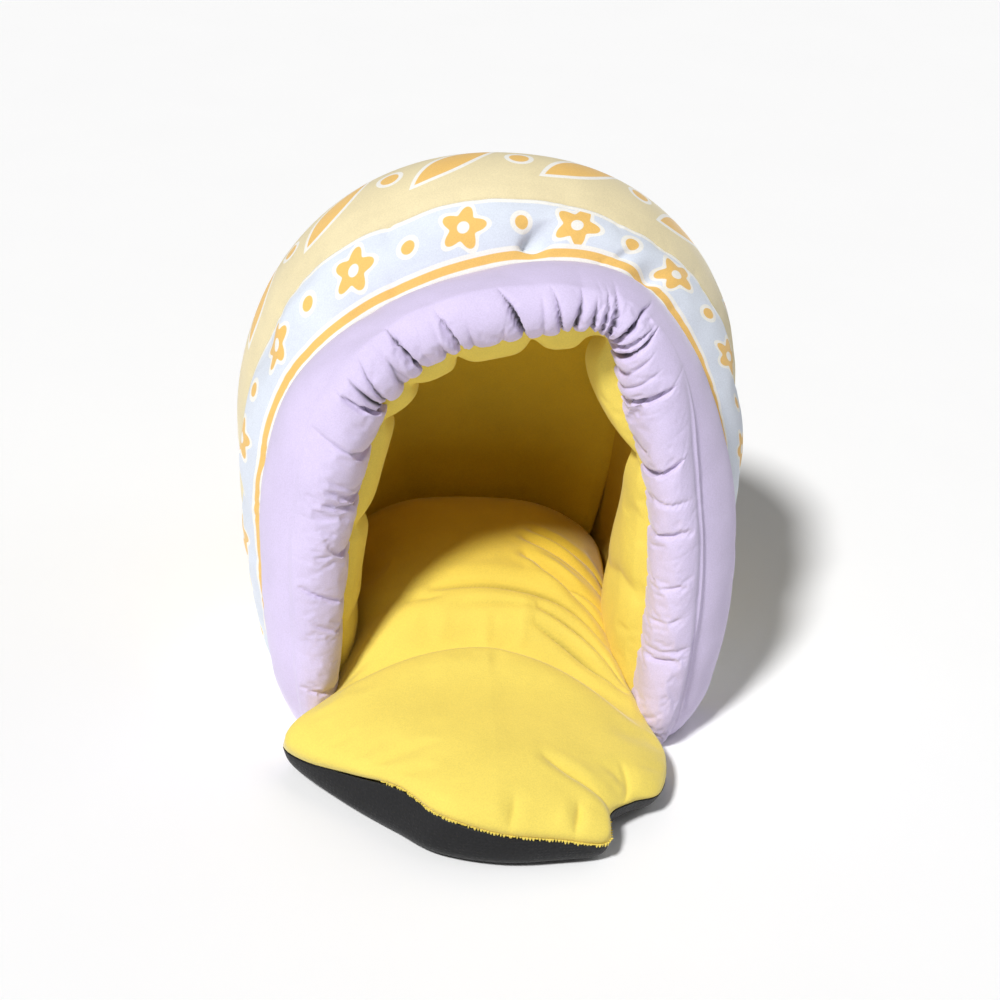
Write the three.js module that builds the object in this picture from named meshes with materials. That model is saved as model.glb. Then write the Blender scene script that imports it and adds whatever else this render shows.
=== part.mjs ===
// A padded cave bed for a small dog: a filled arch with a gathered rim round its mouth, a puffed lining,
// and a filled mat that runs out of the mouth as a tongue.
// Millimetres, +Z up. The mouth faces -Y, and the bed stands on z = 0.
import * as THREE from "three";

// Driving sizes
const BASE_CLOTH = 2.5; // thickness of the non-slip cloth underneath
const GAP = 0.4; // air between two sewn pieces
const SOFT_GAP = 0.3; // more air where two filled pieces curve along each other
const BAND_GAP = 0.8; // air between the shell's band and its crown
const BACK_WALL_GAP = 1.2; // air round the back wall of the lining
const TUCK_GAP = 1.8; // more air between the mat's side and the turned-up cloth
const FOOT_Z = BASE_CLOTH + GAP; // height at which walls and mat stand on the base cloth
const MOUTH_Y = -175; // front of the rim's feet
const RIM_DEPTH = 80; // front to back of the padded rim
const WALL_Y = MOUTH_Y + RIM_DEPTH + GAP; // front of the shell and the lining
const BACK_Y = 200; // seam between the shell and its back panel
const WALL_DEPTH = BACK_Y - WALL_Y;
const BACK_PANEL = { edge: 7, swell: 33, power: 2.4, round: 0.7 }; // thickness at the seam, and its crown
const LEAN = 0.06; // the mouth leans back by this share of its height
const BELLY_Z = 225; // height of the widest line of the walls
const ARCH_SHARE = 0.5; // share of an arch's outline that lies above its belly
const ARCH_POWER = 2.15; // 2 is an ellipse, more is squarer
const LINING_END = 0.9; // share of the wall's depth at which the lining meets the back wall
const BACK_WALL_SWELL = { deep: 9, ring: 0.6 }; // crown of the back wall towards the mouth
const LEVEL_FOOT = 60; // below this height the walls swell level with the floor
const FOOT_TUCK = { height: 46, share: 0.2 }; // the rim draws in above the floor
const RIM_CORE = 0.55; // share of the way from the opening to the welt at which the rim's core lies
const OPENING_LENGTH = 960; // edge of the opening from foot to foot

// Steps of the meshes
const RIM_STEPS = 88;
const WALL_STEPS = 56;
const BAND_STEPS = 4;
const CROWN_STEPS = 6;
const PANEL_RINGS = [0, 0.4, 0.7, 0.88, 0.97, 1];
const BACK_WALL_RINGS = [0, 0.3, 0.6, 1];
const MAT_STEPS = 60;
const FOOT_STEPS = 8;
const BACK_FOOT_SHARES = [0.7, 0, -0.7];
const SLOPE_STEP = 0.004; // step along the mouth over which its direction is taken
const KEY_STEP = 1e-4; // points nearer than this are the same point
const MAT_TOP_RINGS = [0, 0.14, 0.28, 0.42, 0.56, 0.69, 0.8, 0.89, 0.95, 0.985, 1];
const MAT_FLAT_RINGS = [0, 0.55];

// The mouth, from the left foot over the top to the right foot: x and z of the opening's edge,
// of the welt round the rim's face, and of the seam between the rim and the shell.
const MOUTH = [
  { openX: -142, openZ: 0, weltX: -168, weltZ: 0, seamX: -188, seamZ: 0 },
  { openX: -136, openZ: 75, weltX: -180, weltZ: 75, seamX: -206, seamZ: 75 },
  { openX: -135, openZ: 150, weltX: -187, weltZ: 150, seamX: -214, seamZ: 150 },
  { openX: -132, openZ: 230, weltX: -188, weltZ: 235, seamX: -216, seamZ: 235 },
  { openX: -117, openZ: 312, weltX: -168, weltZ: 362, seamX: -190, seamZ: 340 },
  { openX: -70, openZ: 371, weltX: -95, weltZ: 445, seamX: -112, seamZ: 420 },
  { openX: 0, openZ: 398, weltX: 10, weltZ: 478, seamX: 0, seamZ: 465 },
  { openX: 66, openZ: 408, weltX: 92, weltZ: 468, seamX: 95, seamZ: 462 },
  { openX: 104, openZ: 346, weltX: 142, weltZ: 408, seamX: 160, seamZ: 398 },
  { openX: 134, openZ: 255, weltX: 168, weltZ: 310, seamX: 208, seamZ: 298 },
  { openX: 147, openZ: 170, weltX: 186, weltZ: 195, seamX: 230, seamZ: 200 },
  { openX: 149, openZ: 85, weltX: 189, weltZ: 100, seamX: 234, seamZ: 100 },
  { openX: 148, openZ: 0, weltX: 184, weltZ: 0, seamX: 218, seamZ: 0 },
];

// Section of the rim from its lining seam, round its face, to its shell seam: share of the way from the
// opening to the welt, or from the welt to the seam, depth behind the front, and share of the gathers.
const RIM_SECTION = [
  { welt: 0, seam: 0.08, depth: 80, push: 0, gather: 0.25 },
  { welt: 0, seam: 0, depth: 62, push: 0, gather: 0.75 },
  { welt: 0, seam: 0, depth: 40, push: 2, gather: 1 },
  { welt: 0.12, seam: 0, depth: 15, push: 0, gather: 1 },
  { welt: 0.34, seam: 0, depth: -1, push: 0, gather: 0.7 },
  { welt: 0.58, seam: 0, depth: -6, push: 0, gather: 0.35 },
  { welt: 0.82, seam: 0, depth: -1, push: 0, gather: 0.12 },
  { welt: 1, seam: 0, depth: 13, push: 0, gather: 0 },
  { welt: 1, seam: 0.36, depth: 30, push: 7, gather: 0 },
  { welt: 1, seam: 0.72, depth: 54, push: 7, gather: 0 },
  { welt: 1, seam: 1, depth: 80, push: 0, gather: 0 },
];

// Gathers of the rim: place along the mouth from 0 to 1, depth and width in millimetres.
const GATHERS = [
  { at: 0.06, deep: 4, wide: 13 },
  { at: 0.144, deep: 5, wide: 13 },
  { at: 0.182, deep: 4, wide: 11 },
  { at: 0.246, deep: 9, wide: 12 },
  { at: 0.301, deep: 6, wide: 12 },
  { at: 0.347, deep: 10, wide: 12 },
  { at: 0.404, deep: 9, wide: 11 },
  { at: 0.433, deep: 4, wide: 9 },
  { at: 0.469, deep: 4, wide: 11 },
  { at: 0.511, deep: 10, wide: 10 },
  { at: 0.53, deep: 4, wide: 7 },
  { at: 0.55, deep: 7, wide: 8 },
  { at: 0.573, deep: 7, wide: 8 },
  { at: 0.597, deep: 9, wide: 8 },
  { at: 0.618, deep: 7, wide: 9 },
  { at: 0.651, deep: 6, wide: 11 },
  { at: 0.696, deep: 4, wide: 11 },
  { at: 0.727, deep: 9, wide: 12 },
  { at: 0.79, deep: 6, wide: 12 },
  { at: 0.86, deep: 5, wide: 12 },
  { at: 0.916, deep: 5, wide: 12 },
  { at: 0.956, deep: 4, wide: 10 },
];

// The walls from the mouth to the back, in equal steps of depth: half width at the belly, half width
// at the floor, height, and thickness of the filled shell and of the filled lining.
const WALLS = [
  { half: 232, foot: 198, top: 503, shell: 38, lining: 44 },
  { half: 237, foot: 201, top: 511, shell: 38, lining: 48 },
  { half: 242, foot: 206, top: 515, shell: 38, lining: 50 },
  { half: 236, foot: 203, top: 489, shell: 37, lining: 48 },
  { half: 212, foot: 184, top: 438, shell: 35, lining: 40 },
  { half: 154, foot: 130, top: 345, shell: 32, lining: 20 },
];
const MOUTH_BLEND = 0.2; // share of the wall's depth over which the mouth's outline turns into the arch
const LINING_START = 0.55; // where the lining's back lies between the opening and the shell seam
const LINING_FOOT = 0.5; // share of the lining's thickness that is left at the floor
const SEAM_GROOVE = { deep: 3, wide: 12 }; // groove of the shell along the seam of its band
const ARCH_LENGTH = 1300; // outline of the shell from foot to foot
const BAND_END = { top: 0.11, side: 0.3, from: 0.15, to: 0.6 }; // share of the depth where the band ends

// Soft hollows of the shell along its sewn lines: place along the arch, share of the depth, size.
const HOLLOWS = [
  { at: 0.2, depth: 0.3, deep: 4, wide: 36 },
  { at: 0.31, depth: 0.2, deep: 4, wide: 30 },
  { at: 0.43, depth: 0.11, deep: 4, wide: 26 },
  { at: 0.515, depth: 0.055, deep: 6, wide: 17 },
  { at: 0.59, depth: 0.055, deep: 5, wide: 17 },
  { at: 0.7, depth: 0.22, deep: 4, wide: 30 },
  { at: 0.82, depth: 0.3, deep: 4, wide: 36 },
];

// Puffs of the lining behind the rim, and the pinches between them.
const PUFF = { swell: 20, peak: 0.1, end: 0.34 };
const PINCHES = [
  { at: 0.11, share: 0.4, wide: 0.016 },
  { at: 0.224, share: 0.7, wide: 0.016 },
  { at: 0.327, share: 0.8, wide: 0.014 },
  { at: 0.374, share: 0.75, wide: 0.014 },
  { at: 0.436, share: 0.55, wide: 0.014 },
  { at: 0.512, share: 0.7, wide: 0.014 },
  { at: 0.6, share: 0.85, wide: 0.014 },
  { at: 0.711, share: 0.85, wide: 0.016 },
  { at: 0.86, share: 0.35, wide: 0.016 },
];

// The mat's edge, anticlockwise from the right of the mouth: height of its seam, and share of that height
// to which the base cloth is turned up.
const MAT_CENTRE = { x: 4, y: -100 };
const MAT_EDGE = [
  { x: 121, y: -96, seam: 34, rise: 0 },
  { x: 122, y: -44, seam: 40, rise: 0 },
  { x: 138, y: 30, seam: 44, rise: 0 },
  { x: 134, y: 108, seam: 44, rise: 0 },
  { x: 84, y: 156, seam: 44, rise: 0 },
  { x: 2, y: 161, seam: 44, rise: 0 },
  { x: -80, y: 156, seam: 44, rise: 0 },
  { x: -130, y: 108, seam: 44, rise: 0 },
  { x: -134, y: 30, seam: 44, rise: 0 },
  { x: -119, y: -44, seam: 40, rise: 0 },
  { x: -119, y: -96, seam: 34, rise: 0 },
  { x: -139, y: -156, seam: 28, rise: 0 },
  { x: -163, y: -197, seam: 24, rise: 0.4 },
  { x: -183, y: -214, seam: 18, rise: 1 },
  { x: -161, y: -238, seam: 28, rise: 1 },
  { x: -122, y: -272, seam: 44, rise: 1 },
  { x: -86, y: -306, seam: 52, rise: 1 },
  { x: -46, y: -332, seam: 43, rise: 1 },
  { x: 2, y: -346, seam: 38, rise: 1 },
  { x: 50, y: -346, seam: 36, rise: 1 },
  { x: 88, y: -332, seam: 27, rise: 1 },
  { x: 106, y: -304, seam: 28, rise: 1 },
  { x: 130, y: -282, seam: 32, rise: 1 },
  { x: 159, y: -258, seam: 26, rise: 1 },
  { x: 165, y: -220, seam: 24, rise: 0.6 },
  { x: 146, y: -160, seam: 28, rise: 0 },
];
// Crown of the mat in the cave and at the tongue: height, and its fall towards the edge.
// In the cave it also falls to both sides of a peak.
const CROWN = {
  cave: { top: 124, power: 3.6, round: 0.52 },
  tongue: { top: 80, power: 2.4, round: 0.62 },
  tongueFrom: -30,
  tongueTo: -220,
  peak: { x: 15, half: 130, fall: 20 },
};
// Section of the underside from the floor up to the seam: past the mat's edge, and share of the height.
const UNDERSIDE = [
  { out: -24, up: 0 },
  { out: -10, up: 0.05 },
  { out: -1, up: 0.24 },
  { out: 2, up: 0.48 },
  { out: 2.6, up: 0.72 },
  { out: 2.8, up: 0.94 },
];
const BASE_INSET = 3; // the base cloth's edge lies this far inside the walls' feet

// Fold across the mat at the mouth: an arc of an ellipse, with a ridge before it and a valley behind.
const FOLD = { x: -5, y: -232, across: 152, along: 108, deep: 14, wide: 13, ridge: 6, fade: 30 };

// Creases of the mat: two ends in plan, depth and half width.
const CREASES = [
  { x0: 60, y0: 92, x1: 118, y1: -10, deep: 6, wide: 9 },
  { x0: 40, y0: 30, x1: 122, y1: -70, deep: 7, wide: 10 },
  { x0: 34, y0: -30, x1: 122, y1: -128, deep: 7, wide: 11 },
  { x0: 48, y0: -112, x1: 116, y1: -166, deep: 7, wide: 11 },
  { x0: -110, y0: -112, x1: -30, y1: -52, deep: 6, wide: 11 },
  { x0: 48, y0: -272, x1: 98, y1: -340, deep: 7, wide: 9 },
  { x0: 108, y0: -250, x1: 108, y1: -322, deep: 8, wide: 9 },
  { x0: 2, y0: -318, x1: 0, y1: -352, deep: 5, wide: 8 },
  { x0: -86, y0: -262, x1: -100, y1: -300, deep: 5, wide: 10 },
];

const CLOTHS = {
  lilac: { color: 0xdccdf0, roughness: 0.9, metalness: 0 },
  paleBlue: { color: 0xdde6f2, roughness: 0.9, metalness: 0 },
  cream: { color: 0xf0e0b4, roughness: 0.9, metalness: 0 },
  yellow: { color: 0xf2d04a, roughness: 0.9, metalness: 0 },
  black: { color: 0x26262a, roughness: 0.85, metalness: 0 },
};

const clamp01 = (value) => THREE.MathUtils.clamp(value, 0, 1);
const mix = THREE.MathUtils.lerp;
const smooth = THREE.MathUtils.smoothstep;
const bell = (distance, width) => Math.exp(-((distance / width) ** 2));

// Value of a table's column at t, from 0 at its first row to 1 at its last, on a smooth curve.
function column(rows, name, t, closed = false) {
  const spans = closed ? rows.length : rows.length - 1;
  const row = (i) => (closed ? rows[(i + spans) % spans] : rows[THREE.MathUtils.clamp(i, 0, spans)])[name];
  const first = Math.min(Math.floor(t * spans), spans - 1);
  const f = t * spans - first;
  const startSlope = (row(first + 1) - row(first - 1)) / 2;
  const endSlope = (row(first + 2) - row(first)) / 2;
  const rise = row(first + 1) - row(first);
  const bend = (startSlope + endSlope - 2 * rise) * f + (3 * rise - 2 * startSlope - endSlope);
  return row(first) + (bend * f + startSlope) * f;
}

// Outline of the mouth in x and z.
const outline = (name, t) => new THREE.Vector2(column(MOUTH, name + "X", t), column(MOUTH, name + "Z", t));

// Unit vector from the opening's edge out into the wall, level at the floor.
function outward(t) {
  const before = outline("open", clamp01(t - SLOPE_STEP));
  const along = outline("open", clamp01(t + SLOPE_STEP)).sub(before).normalize();
  const level = clamp01(outline("open", t).y / LEVEL_FOOT);
  return new THREE.Vector2(-along.y, along.x * level).normalize();
}

// Point of an arch in x and z, from the left foot at 0 to the right foot at 1.
function archPoint(half, foot, top, t) {
  const side = Math.sign(t - 0.5);
  const down = Math.abs(2 * t - 1);
  if (down > ARCH_SHARE) {
    const leg = (down - ARCH_SHARE) / (1 - ARCH_SHARE);
    const width = mix(foot, half, Math.cos((leg * Math.PI) / 2));
    return new THREE.Vector2(side * width, BELLY_Z * (1 - leg));
  }
  const angle = ((down / ARCH_SHARE) * Math.PI) / 2;
  const power = 2 / ARCH_POWER;
  const x = side * half * Math.sin(angle) ** power;
  return new THREE.Vector2(x, BELLY_Z + (top - BELLY_Z) * Math.cos(angle) ** power);
}

// A point of the walls: x and z of a section, and its share of the depth from the mouth to the back.
function place(point, share) {
  const lean = LEAN * point.y * (1 - clamp01(share));
  return new THREE.Vector3(point.x, mix(WALL_Y, BACK_Y, share) + lean, point.y + FOOT_Z);
}

// The three skins of the walls, each a section in x and z at t along the arch and a share of the depth.
function skinSection(t, share, inset, footInset, mouthPoint) {
  const half = column(WALLS, "half", share) - inset;
  const foot = column(WALLS, "foot", share) - footInset;
  const top = column(WALLS, "top", share) - inset;
  const swollen = Math.sin((clamp01(share / MOUTH_BLEND) * Math.PI) / 2);
  return mouthPoint.lerp(archPoint(half, foot, top, t), swollen);
}

function outerSkin(t, share) {
  const point = skinSection(t, share, 0, 0, outline("seam", t));
  const centre = new THREE.Vector2(0, Math.min(point.y, BELLY_Z));
  let dent = SEAM_GROOVE.deep * bell((share - bandEnd(t)) * WALL_DEPTH, SEAM_GROOVE.wide);
  for (const hollow of HOLLOWS) {
    const along = (t - hollow.at) * ARCH_LENGTH;
    const back = (share - hollow.depth) * WALL_DEPTH;
    dent += hollow.deep * bell(Math.hypot(along, back), hollow.wide);
  }
  return point.lerp(centre, dent / point.distanceTo(centre));
}

function middleSkin(t, share, clearance) {
  const start = outline("open", t).lerp(outline("seam", t), LINING_START);
  start.addScaledVector(outward(t), -clearance);
  const inset = column(WALLS, "shell", share) + clearance;
  return skinSection(t, share, inset, inset, start);
}

function innerSkin(t, share) {
  const shell = column(WALLS, "shell", share);
  const lining = column(WALLS, "lining", share);
  const start = outline("open", t).lerp(outline("seam", t), RIM_SECTION[0].seam);
  const point = skinSection(t, share, shell + lining, shell + lining * LINING_FOOT, start);
  const pinch = Math.max(...PINCHES.map((row) => row.share * bell(t - row.at, row.wide)));
  const rising = Math.sqrt(clamp01(share / PUFF.peak));
  const falling = 1 - smooth(share, PUFF.peak, PUFF.end);
  return point.addScaledVector(outward(t), -PUFF.swell * (1 - pinch) * rising * falling);
}

// Share of the depth at which the band is sewn to the crown.
function bandEnd(t) {
  const down = smooth(Math.abs(2 * t - 1), BAND_END.from, BAND_END.to);
  return mix(BAND_END.top, BAND_END.side, down);
}

// Depths of the walls' rows: the band, then the crown to the end of the lining, then the back.
function wallDepths(t) {
  const depths = [];
  for (let i = 0; i <= BAND_STEPS; i += 1) depths.push((bandEnd(t) * i) / BAND_STEPS);
  for (let i = 1; i <= CROWN_STEPS; i += 1) depths.push(mix(bandEnd(t), LINING_END, i / CROWN_STEPS));
  depths.push(1);
  return depths;
}

const steps = (count) => Array.from({ length: count + 1 }, (_, i) => i / count);

// A closed body sewn from grids of points, whose shared edges are the same points.
class Body {
  constructor() {
    this.places = [];
    this.known = new Map();
    this.faces = [];
  }

  vertex(point) {
    const key = point.toArray().map((value) => Math.round(value / KEY_STEP)).join();
    if (!this.known.has(key)) {
      this.known.set(key, this.places.length);
      this.places.push(point);
    }
    return this.known.get(key);
  }

  face(a, b, c) {
    if (a !== b && b !== c && c !== a) this.faces.push([a, b, c]);
  }

  grid(rows) {
    const ids = rows.map((row) => row.map((point) => this.vertex(point)));
    for (let i = 0; i + 1 < ids.length; i += 1) {
      for (let j = 0; j + 1 < ids[i].length; j += 1) {
        this.face(ids[i][j], ids[i + 1][j], ids[i + 1][j + 1]);
        this.face(ids[i][j], ids[i + 1][j + 1], ids[i][j + 1]);
      }
    }
    return this;
  }

  // The mesh, with its faces turned outwards.
  mesh(name, cloth) {
    const product = ([a, b, c]) => this.places[a].dot(this.places[b].clone().cross(this.places[c]));
    const volume = this.faces.reduce((sum, face) => sum + product(face), 0);
    const faces = volume < 0 ? this.faces.map(([a, b, c]) => [a, c, b]) : this.faces;
    const geometry = new THREE.BufferGeometry().setFromPoints(this.places).setIndex(faces.flat());
    geometry.computeVertexNormals();
    const mesh = new THREE.Mesh(geometry, new THREE.MeshStandardMaterial(cloth));
    mesh.name = name;
    return mesh;
  }
}

// The same grid seen from its other side, with the same diagonals.
const turned = (grid) => grid[0].map((_, j) => grid.map((row) => row[j]));
const firsts = (grid) => grid.map((row) => row[0]);
const lasts = (grid) => grid.map((row) => row[row.length - 1]);

// A padded sheet between two skins with the same rows and columns.
function slab(outer, inner) {
  const end = outer.length - 1;
  return new Body()
    .grid(outer)
    .grid(turned(inner))
    .grid([inner[0], outer[0]])
    .grid([outer[end], inner[end]])
    .grid([firsts(outer), firsts(inner)])
    .grid([lasts(inner), lasts(outer)]);
}

// A filled roll through closed sections, with flat ends.
function roll(sections) {
  const closed = sections.map((section) => [...section, section[0]]);
  const middle = (section) => {
    const centre = section.reduce((sum, point) => sum.add(point), new THREE.Vector3());
    return [...section, section[0]].map(() => centre.clone().divideScalar(section.length));
  };
  const end = sections.length - 1;
  return new Body()
    .grid(closed)
    .grid([middle(sections[0]), closed[0]])
    .grid([closed[end], middle(sections[end])]);
}

// The gathered rim round the mouth.
function frontRim() {
  const sections = steps(RIM_STEPS).map((t) => {
    const open = outline("open", t);
    const welt = outline("welt", t);
    const seam = outline("seam", t);
    const out = outward(t);
    const core = open.clone().lerp(welt, RIM_CORE);
    const tuck = FOOT_TUCK.share * clamp01(1 - core.y / FOOT_TUCK.height) ** 2;
    const foldOf = (row) => row.deep * bell((t - row.at) * OPENING_LENGTH, row.wide);
    const fold = GATHERS.reduce((sum, row) => sum + foldOf(row), 0);
    return RIM_SECTION.map((row) => {
      const from = row.welt < 1 ? open.clone().lerp(welt, row.welt) : welt.clone();
      const point = from.lerp(seam, row.seam).addScaledVector(out, row.push);
      const depth = mix(row.depth, RIM_DEPTH, row.depth < RIM_DEPTH ? tuck : 0);
      const draw = clamp01((fold * row.gather) / Math.max(point.distanceTo(core), RIM_DEPTH / 2));
      point.lerp(core, Math.max(draw, tuck));
      point.y *= Math.sign(t * (1 - t));
      const y = MOUTH_Y + mix(depth, RIM_DEPTH / 2, row.depth < RIM_DEPTH ? draw : 0) + LEAN * point.y;
      return new THREE.Vector3(point.x, y, point.y + FOOT_Z);
    });
  });
  return roll(sections).mesh("front_rim", CLOTHS.lilac);
}

// The filled shell, as a band round the mouth and a crown behind it.
function shellPiece(name, cloth, from, to, startGap) {
  const skin = (surface) =>
    steps(WALL_STEPS).map((t) =>
      wallDepths(t)
        .slice(from, to + 1)
        .map((share, i) => place(surface(t, share), share + (i === 0 ? startGap : 0))),
    );
  return slab(skin(outerSkin), skin((t, share) => middleSkin(t, share, 0))).mesh(name, cloth);
}

// The puffed lining of the walls.
function liningArch() {
  const skin = (surface) =>
    steps(WALL_STEPS).map((t) =>
      wallDepths(t)
        .slice(0, -1)
        .map((share) => place(surface(t, share), share)),
    );
  const outer = skin((t, share) => middleSkin(t, share, GAP + SOFT_GAP));
  return slab(outer, skin(innerSkin)).mesh("lining_arch", CLOTHS.yellow);
}

// A panel across the walls, fanned out from the middle of its foot to an arch.
function archPanel(rings, arch, depthAt) {
  return steps(WALL_STEPS).map((t) => rings.map((ring) => depthAt(arch(t).multiplyScalar(ring), ring)));
}

function liningBack() {
  const start = LINING_END + GAP / WALL_DEPTH;
  const front = archPanel(
    BACK_WALL_RINGS,
    (t) => middleSkin(t, LINING_END, BACK_WALL_GAP),
    (point, ring) => {
      const swell = BACK_WALL_SWELL.deep * clamp01(1 - (ring / BACK_WALL_SWELL.ring) ** 2);
      return place(point, start).sub(new THREE.Vector3(0, swell, 0));
    },
  );
  const rearArch = (t) => middleSkin(t, 1, BACK_WALL_GAP);
  const rear = archPanel(BACK_WALL_RINGS, rearArch, (point) => place(point, 1));
  return slab(front, rear).mesh("lining_back", CLOTHS.yellow);
}

// Swell of the back panel at a ring, from 0 at its middle to 1 at its seam.
const backCrown = (ring) => BACK_PANEL.swell * (1 - ring ** BACK_PANEL.power) ** BACK_PANEL.round;

function backPanel() {
  const arch = (t) => outerSkin(t, 1);
  const behind = (point, distance) => place(point, 1).add(new THREE.Vector3(0, distance, 0));
  const front = archPanel(PANEL_RINGS, arch, (point) => behind(point, GAP));
  const rear = archPanel(PANEL_RINGS, arch, (point, ring) =>
    behind(point, GAP + BACK_PANEL.edge + backCrown(ring)),
  );
  return slab(front, rear).mesh("back_panel", CLOTHS.cream);
}

// Height of the mat's top over a point of its plan.
function matTop(x, y, ring, seam) {
  const tongue = smooth(-y, -CROWN.tongueFrom, -CROWN.tongueTo);
  const crown = (name) => mix(CROWN.cave[name], CROWN.tongue[name], tongue);
  const plump = (1 - ring ** crown("power")) ** crown("round");
  const fall = CROWN.peak.fall * ((x - CROWN.peak.x) / CROWN.peak.half) ** 2;
  let height = mix(seam, crown("top") - fall * (1 - tongue), plump);
  const around = Math.hypot((x - FOLD.x) / FOLD.across, (y - FOLD.y) / FOLD.along);
  const behind = (around - 1) * FOLD.along;
  const front = smooth(y, FOLD.y - FOLD.fade, FOLD.y + FOLD.fade);
  height -= front * plump * FOLD.deep * bell(behind - FOLD.wide, FOLD.wide);
  height += front * plump * FOLD.ridge * bell(behind + FOLD.wide, FOLD.wide);
  for (const crease of CREASES) {
    const line = new THREE.Line3(
      new THREE.Vector3(crease.x0, crease.y0, 0),
      new THREE.Vector3(crease.x1, crease.y1, 0),
    );
    const point = new THREE.Vector3(x, y, 0);
    const nearest = line.closestPointToPoint(point, true, new THREE.Vector3());
    height -= crease.deep * Math.sqrt(plump) * bell(nearest.distanceTo(point), crease.wide);
  }
  return Math.max(height, seam);
}

const edgeAt = (name, turn) => column(MAT_EDGE, name, turn, true);
const matRay = (turn) => new THREE.Vector2(edgeAt("x", turn), edgeAt("y", turn)).sub(MAT_CENTRE);
const matPlan = (turn, ring) => matRay(turn).multiplyScalar(ring).add(MAT_CENTRE);

// Plan of the walls' feet from the right of the mouth round the back to the left.
function footprint() {
  const side = (t) => steps(FOOT_STEPS).map((share) => place(outerSkin(t, share), share));
  const backFoot = column(WALLS, "foot", 1);
  const behind = BACK_FOOT_SHARES.map((share) => {
    const depth = BACK_Y + BACK_PANEL.edge + backCrown(Math.abs(share));
    return new THREE.Vector3(share * backFoot, depth, 0);
  });
  const toe = (t) => new THREE.Vector3(outline("welt", t).x, MOUTH_Y + RIM_DEPTH * FOOT_TUCK.share, 0);
  return [toe(1), ...side(1), ...behind, ...side(0).reverse(), toe(0)];
}

// Distance from the mat's centre to the walls' feet on the ray at turn, or to the mat's edge.
function reachOf(ray, feet) {
  return feet.slice(1).reduce((found, foot, i) => {
    const start = new THREE.Vector2(feet[i].x, feet[i].y).sub(MAT_CENTRE);
    const side = new THREE.Vector2(foot.x, foot.y).sub(MAT_CENTRE).sub(start);
    const cross = ray.cross(side);
    const along = start.cross(ray) / cross;
    const out = start.cross(side) / cross;
    return along >= 0 && along <= 1 && out > 0 ? out * ray.length() - BASE_INSET : found;
  }, ray.length());
}

const turns = steps(MAT_STEPS).map((turn) => turn % 1);

// A point on the ray at turn: distance from the mat's centre, and height.
function rayPoint(turn, distance, z) {
  const { x, y } = matRay(turn).setLength(distance).add(MAT_CENTRE);
  return new THREE.Vector3(x, y, z);
}

// The underside on the ray at turn, turned up to a height, and moved up and inwards by insets.
function underside(turn, height, inset, sideInset) {
  const edge = matRay(turn).length();
  const flat = MAT_FLAT_RINGS.map((ring) => matPlan(turn, ring));
  const rows = UNDERSIDE.map((row) => new THREE.Vector2(row.out, row.up * height));
  const turnedUp = rows.map((row, i) => {
    const along = (rows[i + 1] ?? row).clone().sub(rows[i - 1] ?? row).normalize();
    const inward = i === 0 ? new THREE.Vector2(0, 1) : new THREE.Vector2(-along.y, along.x);
    return row.clone().addScaledVector(inward, i === 0 ? inset : sideInset);
  });
  return [
    ...flat.map(({ x, y }) => new THREE.Vector3(x, y, inset)),
    ...turnedUp.map((row) => rayPoint(turn, edge + row.x, row.y)),
  ];
}

function cushion() {
  const top = turns.map((turn) =>
    MAT_TOP_RINGS.map((ring) => {
      const { x, y } = matPlan(turn, ring);
      return new THREE.Vector3(x, y, matTop(x, y, ring, edgeAt("seam", turn)));
    }),
  );
  const under = turns.map((turn, i) => [
    ...underside(turn, edgeAt("seam", turn), FOOT_Z, FOOT_Z + TUCK_GAP),
    top[i].at(-1),
  ]);
  return new Body().grid(top).grid(turned(under)).mesh("cushion", CLOTHS.yellow);
}

// The base cloth, which lies under the mat and the walls and is turned up round the tongue.
function basePanel() {
  const feet = footprint();
  const skin = (inset) =>
    turns.map((turn) => {
      const rise = clamp01(edgeAt("rise", turn));
      const points = underside(turn, rise * edgeAt("seam", turn), inset, inset);
      const last = points.at(-1);
      const distance = Math.hypot(last.x - MAT_CENTRE.x, last.y - MAT_CENTRE.y);
      const reach = Math.max(mix(reachOf(matRay(turn), feet), distance, rise), distance);
      return [...points, rayPoint(turn, reach, last.z)];
    });
  const lower = skin(0);
  const upper = skin(BASE_CLOTH);
  return new Body()
    .grid(upper)
    .grid(turned(lower))
    .grid([lasts(lower), lasts(upper)])
    .mesh("base_panel", CLOTHS.black);
}

const bed = new THREE.Group();
bed.name = "cave_bed";
bed.add(
  frontRim(),
  shellPiece("shell_band", CLOTHS.paleBlue, 0, BAND_STEPS, 0),
  shellPiece("shell_crown", CLOTHS.cream, BAND_STEPS, BAND_STEPS + CROWN_STEPS + 1, BAND_GAP / WALL_DEPTH),
  backPanel(),
  liningArch(),
  liningBack(),
  cushion(),
  basePanel(),
);

export default bed;
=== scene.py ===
"""Looks of a padded cave bed for a small dog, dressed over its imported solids.

Tables and shape functions are in millimetres and meshes in metres. +Z is up, and the mouth faces -Y.
"""
import math

import bmesh
import bpy
import numpy as np
from mathutils import Matrix, Vector


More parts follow.
